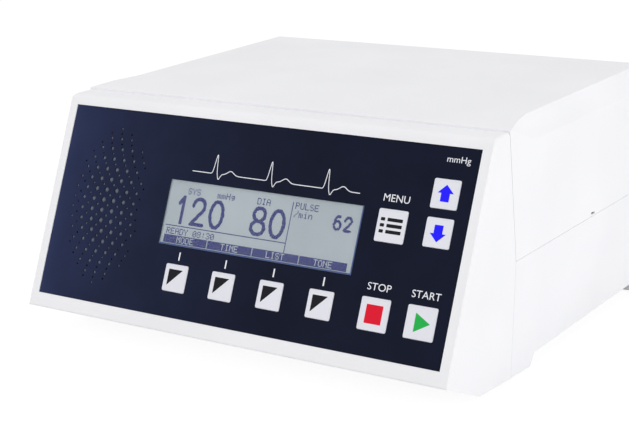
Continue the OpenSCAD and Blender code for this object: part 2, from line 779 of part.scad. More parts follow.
module bottom_shell() color(shell_white) difference() {
    union() {
        difference() {
            shell_solid(0, shell_side);
            shell_solid(wall, shell_bore);
        }
        intersection() {
            shell_solid(1, inset(shell_side, [1, 1, 1, 1, 1, 0, 0, 0]));
            union() {
                for (p = posts) translate([p.x, p.y, 0]) rod(post_d, 0, post_split);
                for (p = board_posts) translate([p.x, p.y, 0]) rod(6, 0, board_z);
                for (p = bracket_posts) translate([p.x, p.y, 0]) rod(6, 0, pump_z - motor_d / 2 - bracket_t);
                for (p = block_posts) translate([p.x, p.y, 0]) rod(8, 0, block_z);
                panel_groove();
                lug_tab(lug_low, 0, lug_low + lug_d / 2);
            }
        }
        lug_tab(lug_low, keel_line(seam_y) + wall, lug_low + lug_d / 2);
        shell_lip(seam_y + 6, panel_y - rear_t - rib - 1);
    }
    for (p = posts) translate([p.x, p.y, 0]) {
        rod(screw_head + 1, -1, head_seat);
        rod(screw_d + 0.4, -1, post_split + 1);
    }
    for (p = concat(board_posts, bracket_posts)) translate([p.x, p.y, 0])
        rod(board_thread + 2 * thread_gap, board_z - 10, far);
    for (f = feet) translate([f.x * foot_x, f.y, 0]) rod(foot_d + 0.4, -1, ridge_z + foot_recess);
}

module rubber_feet() color([0.25, 0.25, 0.27])
    for (f = feet) translate([f.x * foot_x, f.y, 0]) rotate_extrude($fn = round_fn)
        polygon([[0, 0], [foot_d / 2 - 0.8, 0], [foot_d / 2, 0.8], [foot_d / 2, ridge_z + foot_recess],
            [0, ridge_z + foot_recess]]);

// ---- Fixings of the housing
module housing_screws() color(steel) for (p = posts)
    translate([p.x, p.y, head_seat]) rotate([180, 0, 0]) screw(post_split - head_seat + 10);

module frame_screws() color(steel) pair() for (z = [lug_high, lug_low])
    translate([lug_x, seam_y + 4, z]) rotate([-90, 0, 0]) screw(11);

// ---- Rear panel
jack_x = main_x + 46;
port_x = main_x - 8;
cuff_x = block_x + 12;
connector_z = 62;
serial_z = board_top + 6.3;
inlet_x = power_x;
inlet_z = 66;
inlet_w = 28;
port_flange = 16;    // across the cuff port's flange
port_gap = 10;       // from the cuff port to the middle of the earth pin
earth_x = cuff_x + port_flange / 2 + port_gap;
inlet_h = 62;
socket_z = inlet_z - 16;
fuse_z = inlet_z + 7;
rocker_z = inlet_z + 21;
inlet_body_w = 25;
inlet_body_h = 58;
inlet_d = 26;
cuff_thread = 9;
barrel_d = 10;
earth_thread = 5;
serial_w = 20;
serial_h = 11;
serial_pitch = 25;   // between the port's two screws
serial_screw = 2.6;
nut_t = 2.5;

module rear_panel() color([0.82, 0.83, 0.84]) difference() {
    intersection() {
        across(inset(concat([[panel_y - rear_t, ridge_z], [panel_y, ridge_z], [panel_y, body_h],
            [panel_y - rear_t, body_h]]), [wall + skin_gap, 0, wall + skin_gap, 0]));
        cover_solid(wall + skin_gap, [[seam_y, 0], [rear_y, 0], [rear_y, body_h], [seam_y, body_h]]);
    }
    rod_y(cuff_x, connector_z, cuff_thread + 0.2, panel_y - 5, panel_y + 5);
    rod_y(jack_x, connector_z, barrel_d + 0.2, panel_y - 5, panel_y + 5);
    rod_y(earth_x, connector_z, earth_thread + 0.2, panel_y - 5, panel_y + 5);
    for (x = [-1, 1]) rod_y(port_x + x * serial_pitch / 2, serial_z, serial_screw + 0.2, panel_y - 5, panel_y + 5);
    translate([0, panel_y - 5, 0]) {
        translate([port_x, 0, serial_z]) block(0, 5, serial_w + 0.4, 10, -serial_h / 2 - 0.2, serial_h / 2 + 0.2);
        translate([inlet_x, 0, inlet_z])
            block(0, 5, inlet_body_w + 0.4, 10, -inlet_body_h / 2 - 0.2, inlet_body_h / 2 + 0.2);
    }
}

module rear_fixings() color(steel) {
    for (x = [-1, 1]) translate([port_x + x * serial_pitch / 2, panel_y + 1, serial_z]) rotate([-90, 0, 0]) {
        cylinder(d = serial_screw + 2, h = 3, $fn = 6);
        rod(serial_screw, -6, eps);
    }
    translate([cuff_x, panel_y - rear_t - nut_t, connector_z]) rotate([-90, 0, 0]) difference() {
        cylinder(d = cuff_thread + 6, h = nut_t, $fn = 6);
        rod(cuff_thread, -1, 5);
    }
    translate([jack_x, panel_y - rear_t - nut_t, connector_z]) rotate([-90, 0, 0]) difference() {
        cylinder(d = barrel_d + 6, h = nut_t, $fn = 6);
        rod(barrel_d, -1, 5);
    }
    translate([earth_x, panel_y - rear_t - nut_t, connector_z]) rotate([-90, 0, 0]) difference() {
        cylinder(d = 2 * earth_thread, h = nut_t, $fn = 6);
        rod(earth_thread, -1, 5);
    }
}

// A turned part along Y at x, z: [radius, y] outline
module turned(x, z, pts) {
    translate([x, 0, z]) rotate([-90, 0, 0]) rotate_extrude($fn = round_fn) polygon(pts);
}

cuff_bore = 3.4;
barb_l = 6;
module cuff_port() color(metal) turned(cuff_x, connector_z, [
    [cuff_bore / 2, panel_y - rear_t - 4 - barb_l], [barb_d / 2, panel_y - rear_t - 4 - barb_l],
    [barb_d / 2, panel_y - rear_t - 4], [cuff_thread / 2, panel_y - rear_t - 4],
    [cuff_thread / 2, panel_y], [port_flange / 2, panel_y], [port_flange / 2, panel_y + 2],
    [nipple_d / 2, panel_y + 2], [nipple_d / 2, panel_y + nipple_l - 1.5],
    [nipple_d / 2 - 0.7, panel_y + nipple_l], [cuff_bore / 2, panel_y + nipple_l]]);

module microphone_socket() color(black) turned(jack_x, connector_z, [
    [0, panel_y - 18], [6, panel_y - 18], [6, panel_y - rear_t - 5], [barrel_d / 2, panel_y - rear_t - 5],
    [barrel_d / 2, panel_y], [7.5, panel_y], [7.5, panel_y + 1.8], [jack_d / 2, panel_y + 1.8],
    [jack_d / 2, panel_y - 12], [0, panel_y - 12]]);

module earth_pin() color(brass) {
    turned(earth_x, connector_z, [
        [0, panel_y - 14], [earth_thread / 2, panel_y - 14], [earth_thread / 2, panel_y], [5.5, panel_y],
        [5.5, panel_y + 2], [earth_d / 2, panel_y + 2], [earth_d / 2, panel_y + earth_l - 0.6],
        [earth_d / 2 - 0.6, panel_y + earth_l], [0, panel_y + earth_l]]);
}

// The rounded D outline of the serial port, drawn from behind
module d_outline(grow) {
    polygon(rounded([[-6.9 - grow, -3.9 - grow, 2], [6.9 + grow, -3.9 - grow, 2],
        [8.2 + grow, 3.9 + grow, 2], [-8.2 - grow, 3.9 + grow, 2]]));
}

module serial_port() color(steel) translate([port_x, 0, serial_z]) {
    difference() {
        block(0, panel_y + 0.5, serial_pitch + 6, 1, -serial_h / 2 - 0.7, serial_h / 2 + 0.7);
        for (x = [-1, 1]) rod_y(x * serial_pitch / 2, 0, serial_screw + 0.4, panel_y - 2, panel_y + 3);
    }
    block(0, panel_y - 5.5, serial_w, 11 + eps, -serial_h / 2, serial_h / 2);
    block(0, panel_y - 13, serial_w + 10, 4 + eps, -6.3, serial_h / 2);
    translate([0, panel_y + 6.5, 0]) rotate([90, 0, 0]) difference() {
        linear_extrude(6) d_outline(0);
        translate([0, 0, -1]) linear_extrude(6) d_outline(-0.5);
    }
    for (i = [-2 : 2]) rod_y(i * 2.7, 1.4, 1, panel_y, panel_y + 5.5);
    for (i = [-2 : 1]) rod_y((i + 0.5) * 2.7, -1.4, 1, panel_y, panel_y + 5.5);
}

// ---- Mains inlet with fuse drawer and switch
socket_w = 24.4;
socket_h = 16.8;
socket_d = 17;
drawer_w = 21;
drawer_h = 8;
drawer_l = 20;
well_w = 18.4;
well_h = 14;
well_d = 12;
rocker_pivot = panel_y - 2;
rocker_half = 5.8;
rocker_throw = 10;
pivot_d = 2.4;

module mains_pins() color(metal)
    for (p = [[-7, -1.5], [0, 2.5], [7, -1.5]])
        block(inlet_x + p.x, panel_y - 5 - inlet_d / 2 + 1, 2, inlet_d - 1, socket_z + p.y - 2, socket_z + p.y + 2);

module mains_inlet() color(black) difference() {
    translate([inlet_x, 0, inlet_z]) {
        block(0, panel_y + 1, inlet_w, 2, -inlet_h / 2, inlet_h / 2);
        block(0, panel_y - inlet_d / 2, inlet_body_w, inlet_d + eps, -inlet_body_h / 2, inlet_body_h / 2);
    }
    mains_pins();
    block(inlet_x, panel_y + 2 - socket_d / 2, socket_w, socket_d + eps, socket_z - socket_h / 2,
        socket_z + socket_h / 2);
    block(inlet_x, panel_y + 2 - drawer_l / 2, drawer_w + 2 * slip_gap, drawer_l + 2 * skin_gap,
        fuse_z - drawer_h / 2 - slip_gap, fuse_z + drawer_h / 2 + slip_gap);
    block(inlet_x, panel_y + 2 - well_d / 2, well_w, well_d + eps, rocker_z - well_h / 2, rocker_z + well_h / 2);
    translate([inlet_x, rocker_pivot, rocker_z]) rotate([0, 90, 0])
        cylinder(d = pivot_d + 2 * run_gap, h = well_w + 4, center = true, $fn = round_fn);
}

module fuse_drawer() color(black) {
    block(inlet_x, panel_y + 2 - drawer_l / 2, drawer_w, drawer_l, fuse_z - drawer_h / 2, fuse_z + drawer_h / 2);
    block(inlet_x, panel_y + 2.8, drawer_w - 4, 1.6 + eps, fuse_z - drawer_h / 2 + 0.5, fuse_z + drawer_h / 2 - 0.5);
}

module power_rocker() color(black) translate([inlet_x, rocker_pivot, rocker_z]) {
    across([[-2, -3.5], [-1, -4.2], [4.6, -rocker_half], [3.4, 0], [4.6, rocker_half], [-1, 4.2], [-2, 3.5]],
        well_w - 0.8, 0.4 - well_w / 2);
    rotate([0, 90, 0]) cylinder(d = pivot_d, h = well_w + 3, center = true, $fn = round_fn);
}

// ---- Boards and their parts
module board(x, y, w, d) {
    difference() {
        block(x, y, w, d, board_z, board_top);
        for (p = corners(x, y, w, d, 5)) translate([p.x, p.y, 0]) rod(screw_d + 0.2, board_z - 1, board_top + 1);
    }
}

module main_board() color(board_green) board(main_x, main_y, board_l, board_w);

ribbon_w = 26;
plug_w = ribbon_w + 6;   // the ribbon's sockets
plug_d = 6;
ribbon_side = board_l / 2 - plug_w / 2 - 12;
ribbon_front = 20 - board_w / 2;
ribbon_x = main_x + ribbon_side;
ribbon_y = main_y + ribbon_front;
processor_w = 28;
memory_w = 18;
driver_w = 16;
chip_d = 10;
chip_t = 2.4;
relay_w = 14;
relay_d = 22;
relay_h = 9;
can_d = 8;
can_h = 11;
can_pitch = 14;
buzzer_d = 20;
buzzer_h = 5;
module chip(x, y, w, d, h) block(main_x + x, main_y + y, w, d, board_top, board_top + h);
module board_parts() color(black) {
    chip(-8, -18, processor_w, processor_w, chip_t);
    chip(-38, 8, memory_w, chip_d, chip_t);
    chip(24, -4, driver_w, chip_d, chip_t);
    chip(-36, -26, chip_d, processor_w, chip_t);
    chip(ribbon_side, ribbon_front, plug_w, plug_d, plug_d);
    chip(40, 24, relay_w, relay_d, relay_h);
    for (i = [0 : 3]) translate([main_x - 20 + can_pitch * i, main_y + 36, 0])
        rod(can_d, board_top, board_top + can_h);
    translate([main_x + 6, main_y + 16, 0]) rod(buzzer_d, board_top, board_top + buzzer_h);
}

module power_board() color(board_green) board(power_x, power_y, power_w, power_l);

core_w = 42;         // the transformer's iron core, across
core_d = 30;
core_h = 32;
coil_w = 30;         // its winding, across
coil_l = 40;
coil_h = 26;
transformer_y = power_y - power_l / 2 + coil_l / 2 + 15;
module power_transformer() color([0.85, 0.75, 0.35]) {
    block(power_x - 2, transformer_y, core_w, core_d, board_top, board_top + core_h);
    block(power_x - 2, transformer_y, coil_w, coil_l, board_top, board_top + coil_h);
}

reservoir_d = 16;    // the two large capacitors
reservoir_h = 26;
sink_w = 10;         // the heat sink, across its fins
sink_l = 36;
sink_h = 24;
sink_fins = 6;
fin_pitch = 5.8;
fin_gap = 3.2;
filter_w = 26;
filter_d = 14;
filter_h = 12;
module power_parts() color([0.20, 0.22, 0.30]) {
    for (x = [-1, 0]) translate([power_x + 2 + x * (reservoir_d + 2), power_y + 10, 0])
        rod(reservoir_d, board_top, board_top + reservoir_h);
    difference() {
        block(power_x + 20, power_y + 12, sink_w, sink_l, board_top, board_top + sink_h);
        for (i = [0 : sink_fins - 1])
            block(power_x + 20 + sink_w / 4, power_y + 12 + (i - (sink_fins - 1) / 2) * fin_pitch,
                sink_w / 2 + 1, fin_gap, board_top + 3, board_top + sink_h + 1);
    }
    block(power_x - 8, power_y + 36, filter_w, filter_d, board_top, board_top + filter_h);
}

module board_screws() color(steel) {
    for (p = board_posts) translate([p.x, p.y, board_top]) screw(9, screw_head - 1, board_thread);
    for (p = bracket_posts)
        translate([p.x, p.y, pump_z - motor_d / 2]) screw(6, screw_head - 1, board_thread);
}

// ---- Air pump
shaft_throw = 1.5;
cam_d = 12;
head_bore = 18;
module pump_head() color([0.20, 0.20, 0.22]) difference() {
    union() {
        block(pump_x, pump_y - head_l / 2, head_s, head_l, pump_z - head_s / 2, pump_z + head_s / 2);
        translate([pump_x, pump_y - head_l / 2, 0]) rod(barb_d, pump_z + head_s / 2 - eps,
            pump_z + head_s / 2 + barb_l);
    }
    rod_y(pump_x, pump_z, head_bore, pump_y - head_l + 4, pump_y - 3);
    rod_y(pump_x, pump_z, shaft_d + 2 * run_gap, pump_y - 4, pump_y + 1);
}

module pump_motor() color(steel) difference() {
    union() {
        rod_y(pump_x, pump_z, motor_d, pump_y, pump_y + motor_l);
        rod_y(pump_x, pump_z, 10, pump_y + motor_l - eps, pump_y + motor_l + 2);
    }
    rod_y(pump_x, pump_z, shaft_d + 2 * run_gap, pump_y - 1, pump_y + motor_l + 3);
}

module pump_shaft() color(metal) {
    rod_y(pump_x, pump_z, shaft_d, pump_y - head_l + 6, pump_y + motor_l + 4);
    rod_y(pump_x + shaft_throw, pump_z, cam_d, pump_y - head_l + 7, pump_y - head_l + 13);
}

module pump_bracket() color(metal) difference() {
    union() {
        block(pump_x, pump_y + motor_l / 2, head_s + 14, motor_l - 8, pump_z - motor_d / 2 - bracket_t,
            pump_z - motor_d / 2);
        for (y = [pump_y + 10, pump_y + motor_l - 10])
            block(pump_x, y, motor_d + 4, 6, pump_z - motor_d / 2 - eps, pump_z);
        for (y = [pump_y + 10, pump_y + motor_l - 10]) rod_y(pump_x, pump_z, motor_d + 4, y - 3, y + 3);
    }
    rod_y(pump_x, pump_z, motor_d + 2 * thread_gap, pump_y - 1, pump_y + motor_l + 1);
    for (p = bracket_posts) translate([p.x, p.y, 0]) rod(screw_d, 0, pump_z - motor_d / 2 + 1);
}

// ---- Valves
coil_x = [block_x - 13, block_x + 13];
coil_z = block_z + block_h / 2;
valve_d = 15;
plunger_d = 6;
plunger_l = 15;
seat_y = block_y - block_d / 2;
valve_port_x = [pump_x, cuff_x];

module valve_block() color(metal) difference() {
    union() {
        block(block_x, block_y, block_w, block_d, block_z, block_top);
        for (x = valve_port_x) translate([x, block_y, 0]) rod(barb_d, block_top - eps, block_top + barb_l);
    }
    for (x = coil_x) rod_y(x, coil_z, plunger_d + 2 * run_gap, seat_y - 1, seat_y + 4);
}

module valve_coils() color([0.25, 0.30, 0.24]) difference() {
    for (x = coil_x) rod_y(x, coil_z, valve_d, seat_y - valve_l, seat_y);
    for (x = coil_x) rod_y(x, coil_z, plunger_d + 2 * run_gap, seat_y - valve_l + 1.5, seat_y + 1);
}

module plunger(x) {
    rod_y(x, coil_z, plunger_d, seat_y + 3.8 - plunger_l, seat_y + 3.8);
}
module inflate_plunger() color(metal) plunger(coil_x[0]);
module bleed_plunger() color(metal) plunger(coil_x[1]);

module pressure_sensor() color([0.92, 0.92, 0.90]) {
    block(block_x, block_y, 12, 14, block_top, block_top + 6);
    translate([block_x, block_y, 0]) rod(7, block_top + 6 - eps, block_top + 9);
}

// ---- Air hoses

// A quarter bend in the Y-Z plane from straight up to straight back, or back to down when it ends
module hose_turn(x, y, z, ends) {
    centre = ends ? [x, y, z] : [x, y + hose_bend, z];
    translate(centre) rotate([0, -90, 0]) rotate([0, 0, ends ? 0 : -90])
        rotate_extrude(angle = 90, $fn = round_fn) translate([hose_bend, 0]) difference() {
            circle(d = hose_d, $fn = small_fn);
            circle(d = hose_bore, $fn = small_fn);
        }
}

module tube_up(x, y, z0, z1) {
    translate([x, y, 0]) difference() {
        rod(hose_d, z0, z1);
        rod(hose_bore, z0 - 1, z1 + 1);
    }
}

module tube_back(x, z, y0, y1) {
    difference() {
        rod_y(x, z, hose_d, y0, y1);
        rod_y(x, z, hose_bore, y0 - 1, y1 + 1);
    }
}

hose_low = max(pump_z + head_s / 2, block_top) + barb_l + 1;
pump_port_y = pump_y - head_l / 2;
module pump_hose() color(black) {
    tube_up(pump_x, pump_port_y, pump_z + head_s / 2, hose_low);
    hose_turn(pump_x, pump_port_y, hose_low, false);
    tube_back(pump_x, hose_low + hose_bend, pump_port_y + hose_bend, block_y - hose_bend);
    hose_turn(pump_x, block_y - hose_bend, hose_low, true);
    tube_up(pump_x, block_y, block_top, hose_low);
}

cuff_bend_z = connector_z - hose_bend;
module cuff_hose() color(black) {
    tube_up(cuff_x, block_y, block_top, cuff_bend_z);
    hose_turn(cuff_x, block_y, cuff_bend_z, false);
    tube_back(cuff_x, connector_z, block_y + hose_bend, panel_y - rear_t - 4);
}

// ---- Ribbon cable from the display board to the main board
ribbon_t = 0.8;
function on_back(y, z) = [panel_origin.y + y * sin(panel_tilt) - z * cos(panel_tilt),
    panel_origin.z + y * cos(panel_tilt) + z * sin(panel_tilt)];
ribbon_line = [
    on_back(0, display_back), on_back(0, display_back - 8), [ribbon_y - 40, board_top + 42],
    [ribbon_y - 14, board_top + 26], [ribbon_y, board_top + 16], [ribbon_y, board_top + plug_d]
];
function side_line(pts, d) = [for (i = [0 : len(pts) - 1])
    let (u = unit(pts[min(i + 1, len(pts) - 1)] - pts[max(i - 1, 0)])) pts[i] + d * [-u.y, u.x]];
function backwards_list(l) = [for (i = [len(l) - 1 : -1 : 0]) l[i]];
module front_ribbon() color([0.78, 0.79, 0.80]) {
    across(concat(side_line(ribbon_line, -ribbon_t / 2), backwards_list(side_line(ribbon_line, ribbon_t / 2))),
        ribbon_w, ribbon_x - ribbon_w / 2);
    on_panel()
        block(ribbon_x, 0, plug_w - 2, plug_d, display_back - 5, display_back);
}

// ---- Parts
module key_soft_1() { key(0); }
module key_soft_2() { key(1); }
module key_soft_3() { key(2); }
module key_soft_4() { key(3); }
module key_menu() { key(4); }
module key_up() { key(5); }
module key_down() { key(6); }
module key_stop() { key(7); }
module key_start() { key(8); }

front_frame();
front_plate();
front_foil();
key_soft_1();
key_soft_2();
key_soft_3();
key_soft_4();
key_menu();
key_up();
key_down();
key_stop();
key_start();
snap_domes();
keypad_board();
keypad_spacers();
display_window();
display_bezel();
display_glass();
display_backlight();
display_board();
display_spacers();
speaker_cloth();
speaker_basket();
speaker_cone();
speaker_magnet();
speaker_clips();
top_cover();
bottom_shell();
rear_panel();
rubber_feet();
housing_screws();
frame_screws();
rear_fixings();
main_board();
board_parts();
power_board();
power_transformer();
power_parts();
board_screws();
pump_motor();
pump_head();
pump_shaft();
pump_bracket();
valve_block();
valve_coils();
inflate_plunger();
bleed_plunger();
pressure_sensor();
pump_hose();
cuff_hose();
cuff_port();
microphone_socket();
serial_port();
earth_pin();
mains_inlet();
mains_pins();
fuse_drawer();
power_rocker();
front_ribbon();
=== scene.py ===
"""Desktop blood-pressure monitor: finishes, print, keys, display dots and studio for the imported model.

Lengths on the front panel are in millimetres, x to the right from its left edge and y down from its
top edge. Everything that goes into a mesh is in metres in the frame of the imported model.
"""

import logging
import math
from dataclasses import dataclass
from enum import Enum
from typing import Callable, Iterable, Sequence

import bmesh
import bpy
import numpy as np
from mathutils import Matrix, Vector

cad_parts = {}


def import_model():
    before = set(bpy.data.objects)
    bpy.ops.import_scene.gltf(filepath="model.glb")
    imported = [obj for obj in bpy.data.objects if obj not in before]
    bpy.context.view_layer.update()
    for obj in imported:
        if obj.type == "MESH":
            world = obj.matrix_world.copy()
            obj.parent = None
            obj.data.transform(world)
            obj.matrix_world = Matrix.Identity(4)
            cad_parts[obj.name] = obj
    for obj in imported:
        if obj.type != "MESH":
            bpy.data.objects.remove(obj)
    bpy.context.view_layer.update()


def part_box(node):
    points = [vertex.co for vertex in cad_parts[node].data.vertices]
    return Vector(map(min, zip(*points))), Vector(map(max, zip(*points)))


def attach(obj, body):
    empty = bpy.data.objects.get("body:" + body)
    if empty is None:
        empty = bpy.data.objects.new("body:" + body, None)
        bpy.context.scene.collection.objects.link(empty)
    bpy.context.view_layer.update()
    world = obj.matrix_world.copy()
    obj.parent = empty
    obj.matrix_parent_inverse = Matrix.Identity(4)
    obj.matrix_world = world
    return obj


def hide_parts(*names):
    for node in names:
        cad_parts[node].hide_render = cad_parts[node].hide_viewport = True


log = logging.getLogger("monitor")
logging.basicConfig(level=logging.INFO, format="%(message)s")

MM = 0.001
HOUSING = "housing"
# The foil's thickness, and where it has its darkest blue, as a share of the way from its middle to its right edge.
FOIL_MM = 0.5
DARK_FROM = 0.2
Array = np.ndarray
Colour = tuple[float, float, float]


def linear(red: float, green: float, blue: float) -> Colour:
    """Turns an 8-bit sRGB colour into the linear one that a shader takes.

    Args:
        red, green, blue: The channels from 0 to 255.

    Returns:
        The linear colour from 0 to 1.
    """
    value = np.array([red, green, blue]) / 255.0
    low = value / 12.92
    high = ((value + 0.055) / 1.055) ** 2.4
    return tuple(float(v) for v in np.where(value <= 0.04045, low, high))


# ---------------------------------------------------------------- shader groups


class Graph:
    """A node tree with short calls for adding nodes and links."""

    def __init__(self, tree: bpy.types.NodeTree) -> None:
        """Keeps the tree and empties it."""
        self.tree = tree
        tree.nodes.clear()

    def node(self, kind: str, **values: object) -> bpy.types.Node:
        """Adds a node and sets its properties.

        Args:
            kind: The node's Blender type name.
            **values: Properties of the node by name.

        Returns:
            The new node.
        """
        new = self.tree.nodes.new(kind)
        for name, value in values.items():
            setattr(new, name, value)
        return new

    def link(self, source: bpy.types.NodeSocket, target: bpy.types.NodeSocket) -> None:
        """Links two sockets."""
        self.tree.links.new(source, target)

    def math(self, operation: str, first: object, second: object = 0.0, clamp: bool = False) -> bpy.types.NodeSocket:
        """Adds a Math node with numbers or sockets as its inputs.

        Args:
            operation: The node's operation.
            first: A number or a socket.
            second: A number or a socket.
            clamp: Whether the result stays from 0 to 1.

        Returns:
            The result's socket.
        """
        new = self.node("ShaderNodeMath", operation=operation, use_clamp=clamp)
        for index, value in enumerate((first, second)):
            if isinstance(value, bpy.types.NodeSocket):
                self.link(value, new.inputs[index])
            else:
                new.inputs[index].default_value = value
        return new.outputs[0]

    def mix(self, factor: object, dark: object, light: object) -> bpy.types.NodeSocket:
        """Mixes two colours, each a tuple or a socket.

        Args:
            factor: A number or a socket.
            dark: The colour at 0.
            light: The colour at 1.

        Returns:
            The mixed colour's socket.
        """
        new = self.node("ShaderNodeMix", data_type="RGBA")
        for socket, value in ((new.inputs[0], factor), (new.inputs[6], dark), (new.inputs[7], light)):
            if isinstance(value, bpy.types.NodeSocket):
                self.link(value, socket)
            elif isinstance(value, tuple):
                socket.default_value = (*value, 1.0)
            else:
                socket.default_value = value
        return new.outputs[2]

    def noise(self, vector: bpy.types.NodeSocket, scale: float, detail: float = 3.0) -> bpy.types.NodeSocket:
        """Adds a noise texture and gives its value, from about 0.3 to 0.7.

        Args:
            vector: The coordinates' socket.
            scale: Lumps for each unit of the coordinates.
            detail: Octaves of finer noise.

        Returns:
            The value's socket.
        """
        new = self.node("ShaderNodeTexNoise")
        new.inputs["Scale"].default_value = scale
        new.inputs["Detail"].default_value = detail
        self.link(vector, new.inputs["Vector"])
        return new.outputs["Fac"]

    def spread(self, value: bpy.types.NodeSocket, low: float, high: float, start: float,
               end: float) -> bpy.types.NodeSocket:
        """Maps low..high of a value onto start..end, clamped.

        Args:
            value: The value's socket.
            low, high: Its range.
            start, end: What the ends of the range become.

        Returns:
            The mapped value's socket.
        """
        new = self.node("ShaderNodeMapRange", clamp=True)
        self.link(value, new.inputs[0])
        for index, number in enumerate((low, high, start, end), start=1):
            new.inputs[index].default_value = number
        return new.outputs[0]

    def scaled(self, vector: bpy.types.NodeSocket, factor: bpy.types.NodeSocket) -> bpy.types.NodeSocket:
        """Multiplies coordinates by a number.

        Args:
            vector: The coordinates' socket.
            factor: The number's socket.

        Returns:
            The longer coordinates' socket.
        """
        new = self.node("ShaderNodeVectorMath", operation="SCALE")
        self.link(vector, new.inputs[0])
        self.link(factor, new.inputs["Scale"])
        return new.outputs[0]

    def seen(self) -> bpy.types.NodeSocket:
        """Gives 1 for a ray from the camera, or one that a gloss or clear surface passes on, and else 0.

        Returns:
            The value's socket.
        """
        path = self.node("ShaderNodeLightPath").outputs
        straight = self.math("MAXIMUM", path["Is Camera Ray"], path["Is Transmission Ray"])
        return self.math("MAXIMUM", straight, path["Is Glossy Ray"])


def group_tree(name: str, inputs: Sequence[tuple[str, float]],
               outputs: Sequence[str]) -> tuple[Graph, bpy.types.Node, bpy.types.Node]:
    """Starts a shader node group with float inputs and outputs.

    Args:
        name: The group's name.
        inputs: Names and default values.
        outputs: Names of the outputs.

    Returns:
        The graph, its input node and its output node.
    """
    tree = bpy.data.node_groups.new(name, "ShaderNodeTree")
    tree.interface.new_socket("Vector", in_out="INPUT", socket_type="NodeSocketVector")
    for label, value in inputs:
        tree.interface.new_socket(label, in_out="INPUT", socket_type="NodeSocketFloat").default_value = value
    for label in outputs:
        tree.interface.new_socket(label, in_out="OUTPUT", socket_type="NodeSocketFloat")
    graph = Graph(tree)
    return graph, graph.node("NodeGroupInput"), graph.node("NodeGroupOutput")


class Effect(Enum):
    """The surface effects that several materials share."""

    GRAIN = "moulded_grain"
    HANDLING = "handling_marks"
    BRUSHED = "brushed_lines"
    WEAVE = "plain_weave"


def grain_group() -> bpy.types.NodeTree:
    """Fine pebbled grain of a moulding: two sizes of noise added up.

    Returns:
        A group with a Height and a slow Tone, both from 0 to 1.
    """
    graph, source, result = group_tree(Effect.GRAIN.value, [("Fineness", 2500.0)], ["Height", "Tone"])
    vector = source.outputs["Vector"]
    scaled = graph.scaled(vector, source.outputs["Fineness"])
    cells = graph.node("ShaderNodeTexVoronoi", feature="SMOOTH_F1")
    cells.inputs["Scale"].default_value = 1.0
    graph.link(scaled, cells.inputs["Vector"])
    fine = graph.noise(scaled, 0.55, 2.0)
    graph.link(graph.math("ADD", cells.outputs["Distance"], fine, clamp=True), result.inputs["Height"])
    graph.link(graph.spread(graph.noise(vector, 14.0, 2.0), 0.35, 0.65, 0.0, 1.0), result.inputs["Tone"])
    return graph.tree


def handling_group() -> bpy.types.NodeTree:
    """Faint smears and dust from use: stretched noise over broad noise.

    Returns:
        A group with a Smear mask and a Dust mask, both from 0 to 1.
    """
    graph, source, result = group_tree(Effect.HANDLING.value, [("Size", 60.0)], ["Smear", "Dust"])
    vector = source.outputs["Vector"]
    stretch = graph.node("ShaderNodeMapping")
    stretch.inputs["Rotation"].default_value = (0.5, 0.3, 0.7)
    stretch.inputs["Scale"].default_value = (1.0, 0.25, 1.0)
    graph.link(vector, stretch.inputs["Vector"])
    scaled = graph.scaled(stretch.outputs[0], source.outputs["Size"])
    smear = graph.spread(graph.noise(scaled, 1.0, 5.0), 0.50, 0.70, 0.0, 1.0)
    dust = graph.spread(graph.noise(vector, 900.0, 1.0), 0.66, 0.74, 0.0, 1.0)
    graph.link(smear, result.inputs["Smear"])
    graph.link(dust, result.inputs["Dust"])
    return graph.tree


def brushed_group() -> bpy.types.NodeTree:
    """Fine lines along X of drawn or turned metal: noise squeezed across them.

    Returns:
        A group with a Line height and a Tone, both from 0 to 1.
    """
    graph, source, result = group_tree(Effect.BRUSHED.value, [("Fineness", 3000.0)], ["Line", "Tone"])
    squeeze = graph.node("ShaderNodeMapping")
    squeeze.inputs["Scale"].default_value = (0.02, 1.0, 1.0)
    graph.link(source.outputs["Vector"], squeeze.inputs["Vector"])
    scaled = graph.scaled(squeeze.outputs[0], source.outputs["Fineness"])
    graph.link(graph.noise(scaled, 1.0, 2.0), result.inputs["Line"])
    graph.link(graph.spread(graph.noise(source.outputs["Vector"], 40.0), 0.35, 0.65, 0.0, 1.0), result.inputs["Tone"])
    return graph.tree


def weave_group() -> bpy.types.NodeTree:
    """Plain weave: two crossed sine ridges, the higher one on top.

    Returns:
        A group with a Height and a Shade, both from 0 to 1.
    """
    graph, source, result = group_tree(Effect.WEAVE.value, [("Threads", 1500.0)], ["Height", "Shade"])
    split = graph.node("ShaderNodeSeparateXYZ")
    graph.link(source.outputs["Vector"], split.inputs[0])
    ridges = []
    for axis in (0, 2):
        turned = graph.math("MULTIPLY", split.outputs[axis], source.outputs["Threads"])
        ridges.append(graph.math("ABSOLUTE", graph.math("SINE", turned)))
    graph.link(graph.math("MAXIMUM", ridges[0], ridges[1]), result.inputs["Height"])
    graph.link(graph.math("MULTIPLY", ridges[0], ridges[1]), result.inputs["Shade"])
    return graph.tree


MAKERS: dict[Effect, Callable[[], bpy.types.NodeTree]] = {
    Effect.GRAIN: grain_group,
    Effect.HANDLING: handling_group,
    Effect.BRUSHED: brushed_group,
    Effect.WEAVE: weave_group,
}


# ---------------------------------------------------------------- finishes


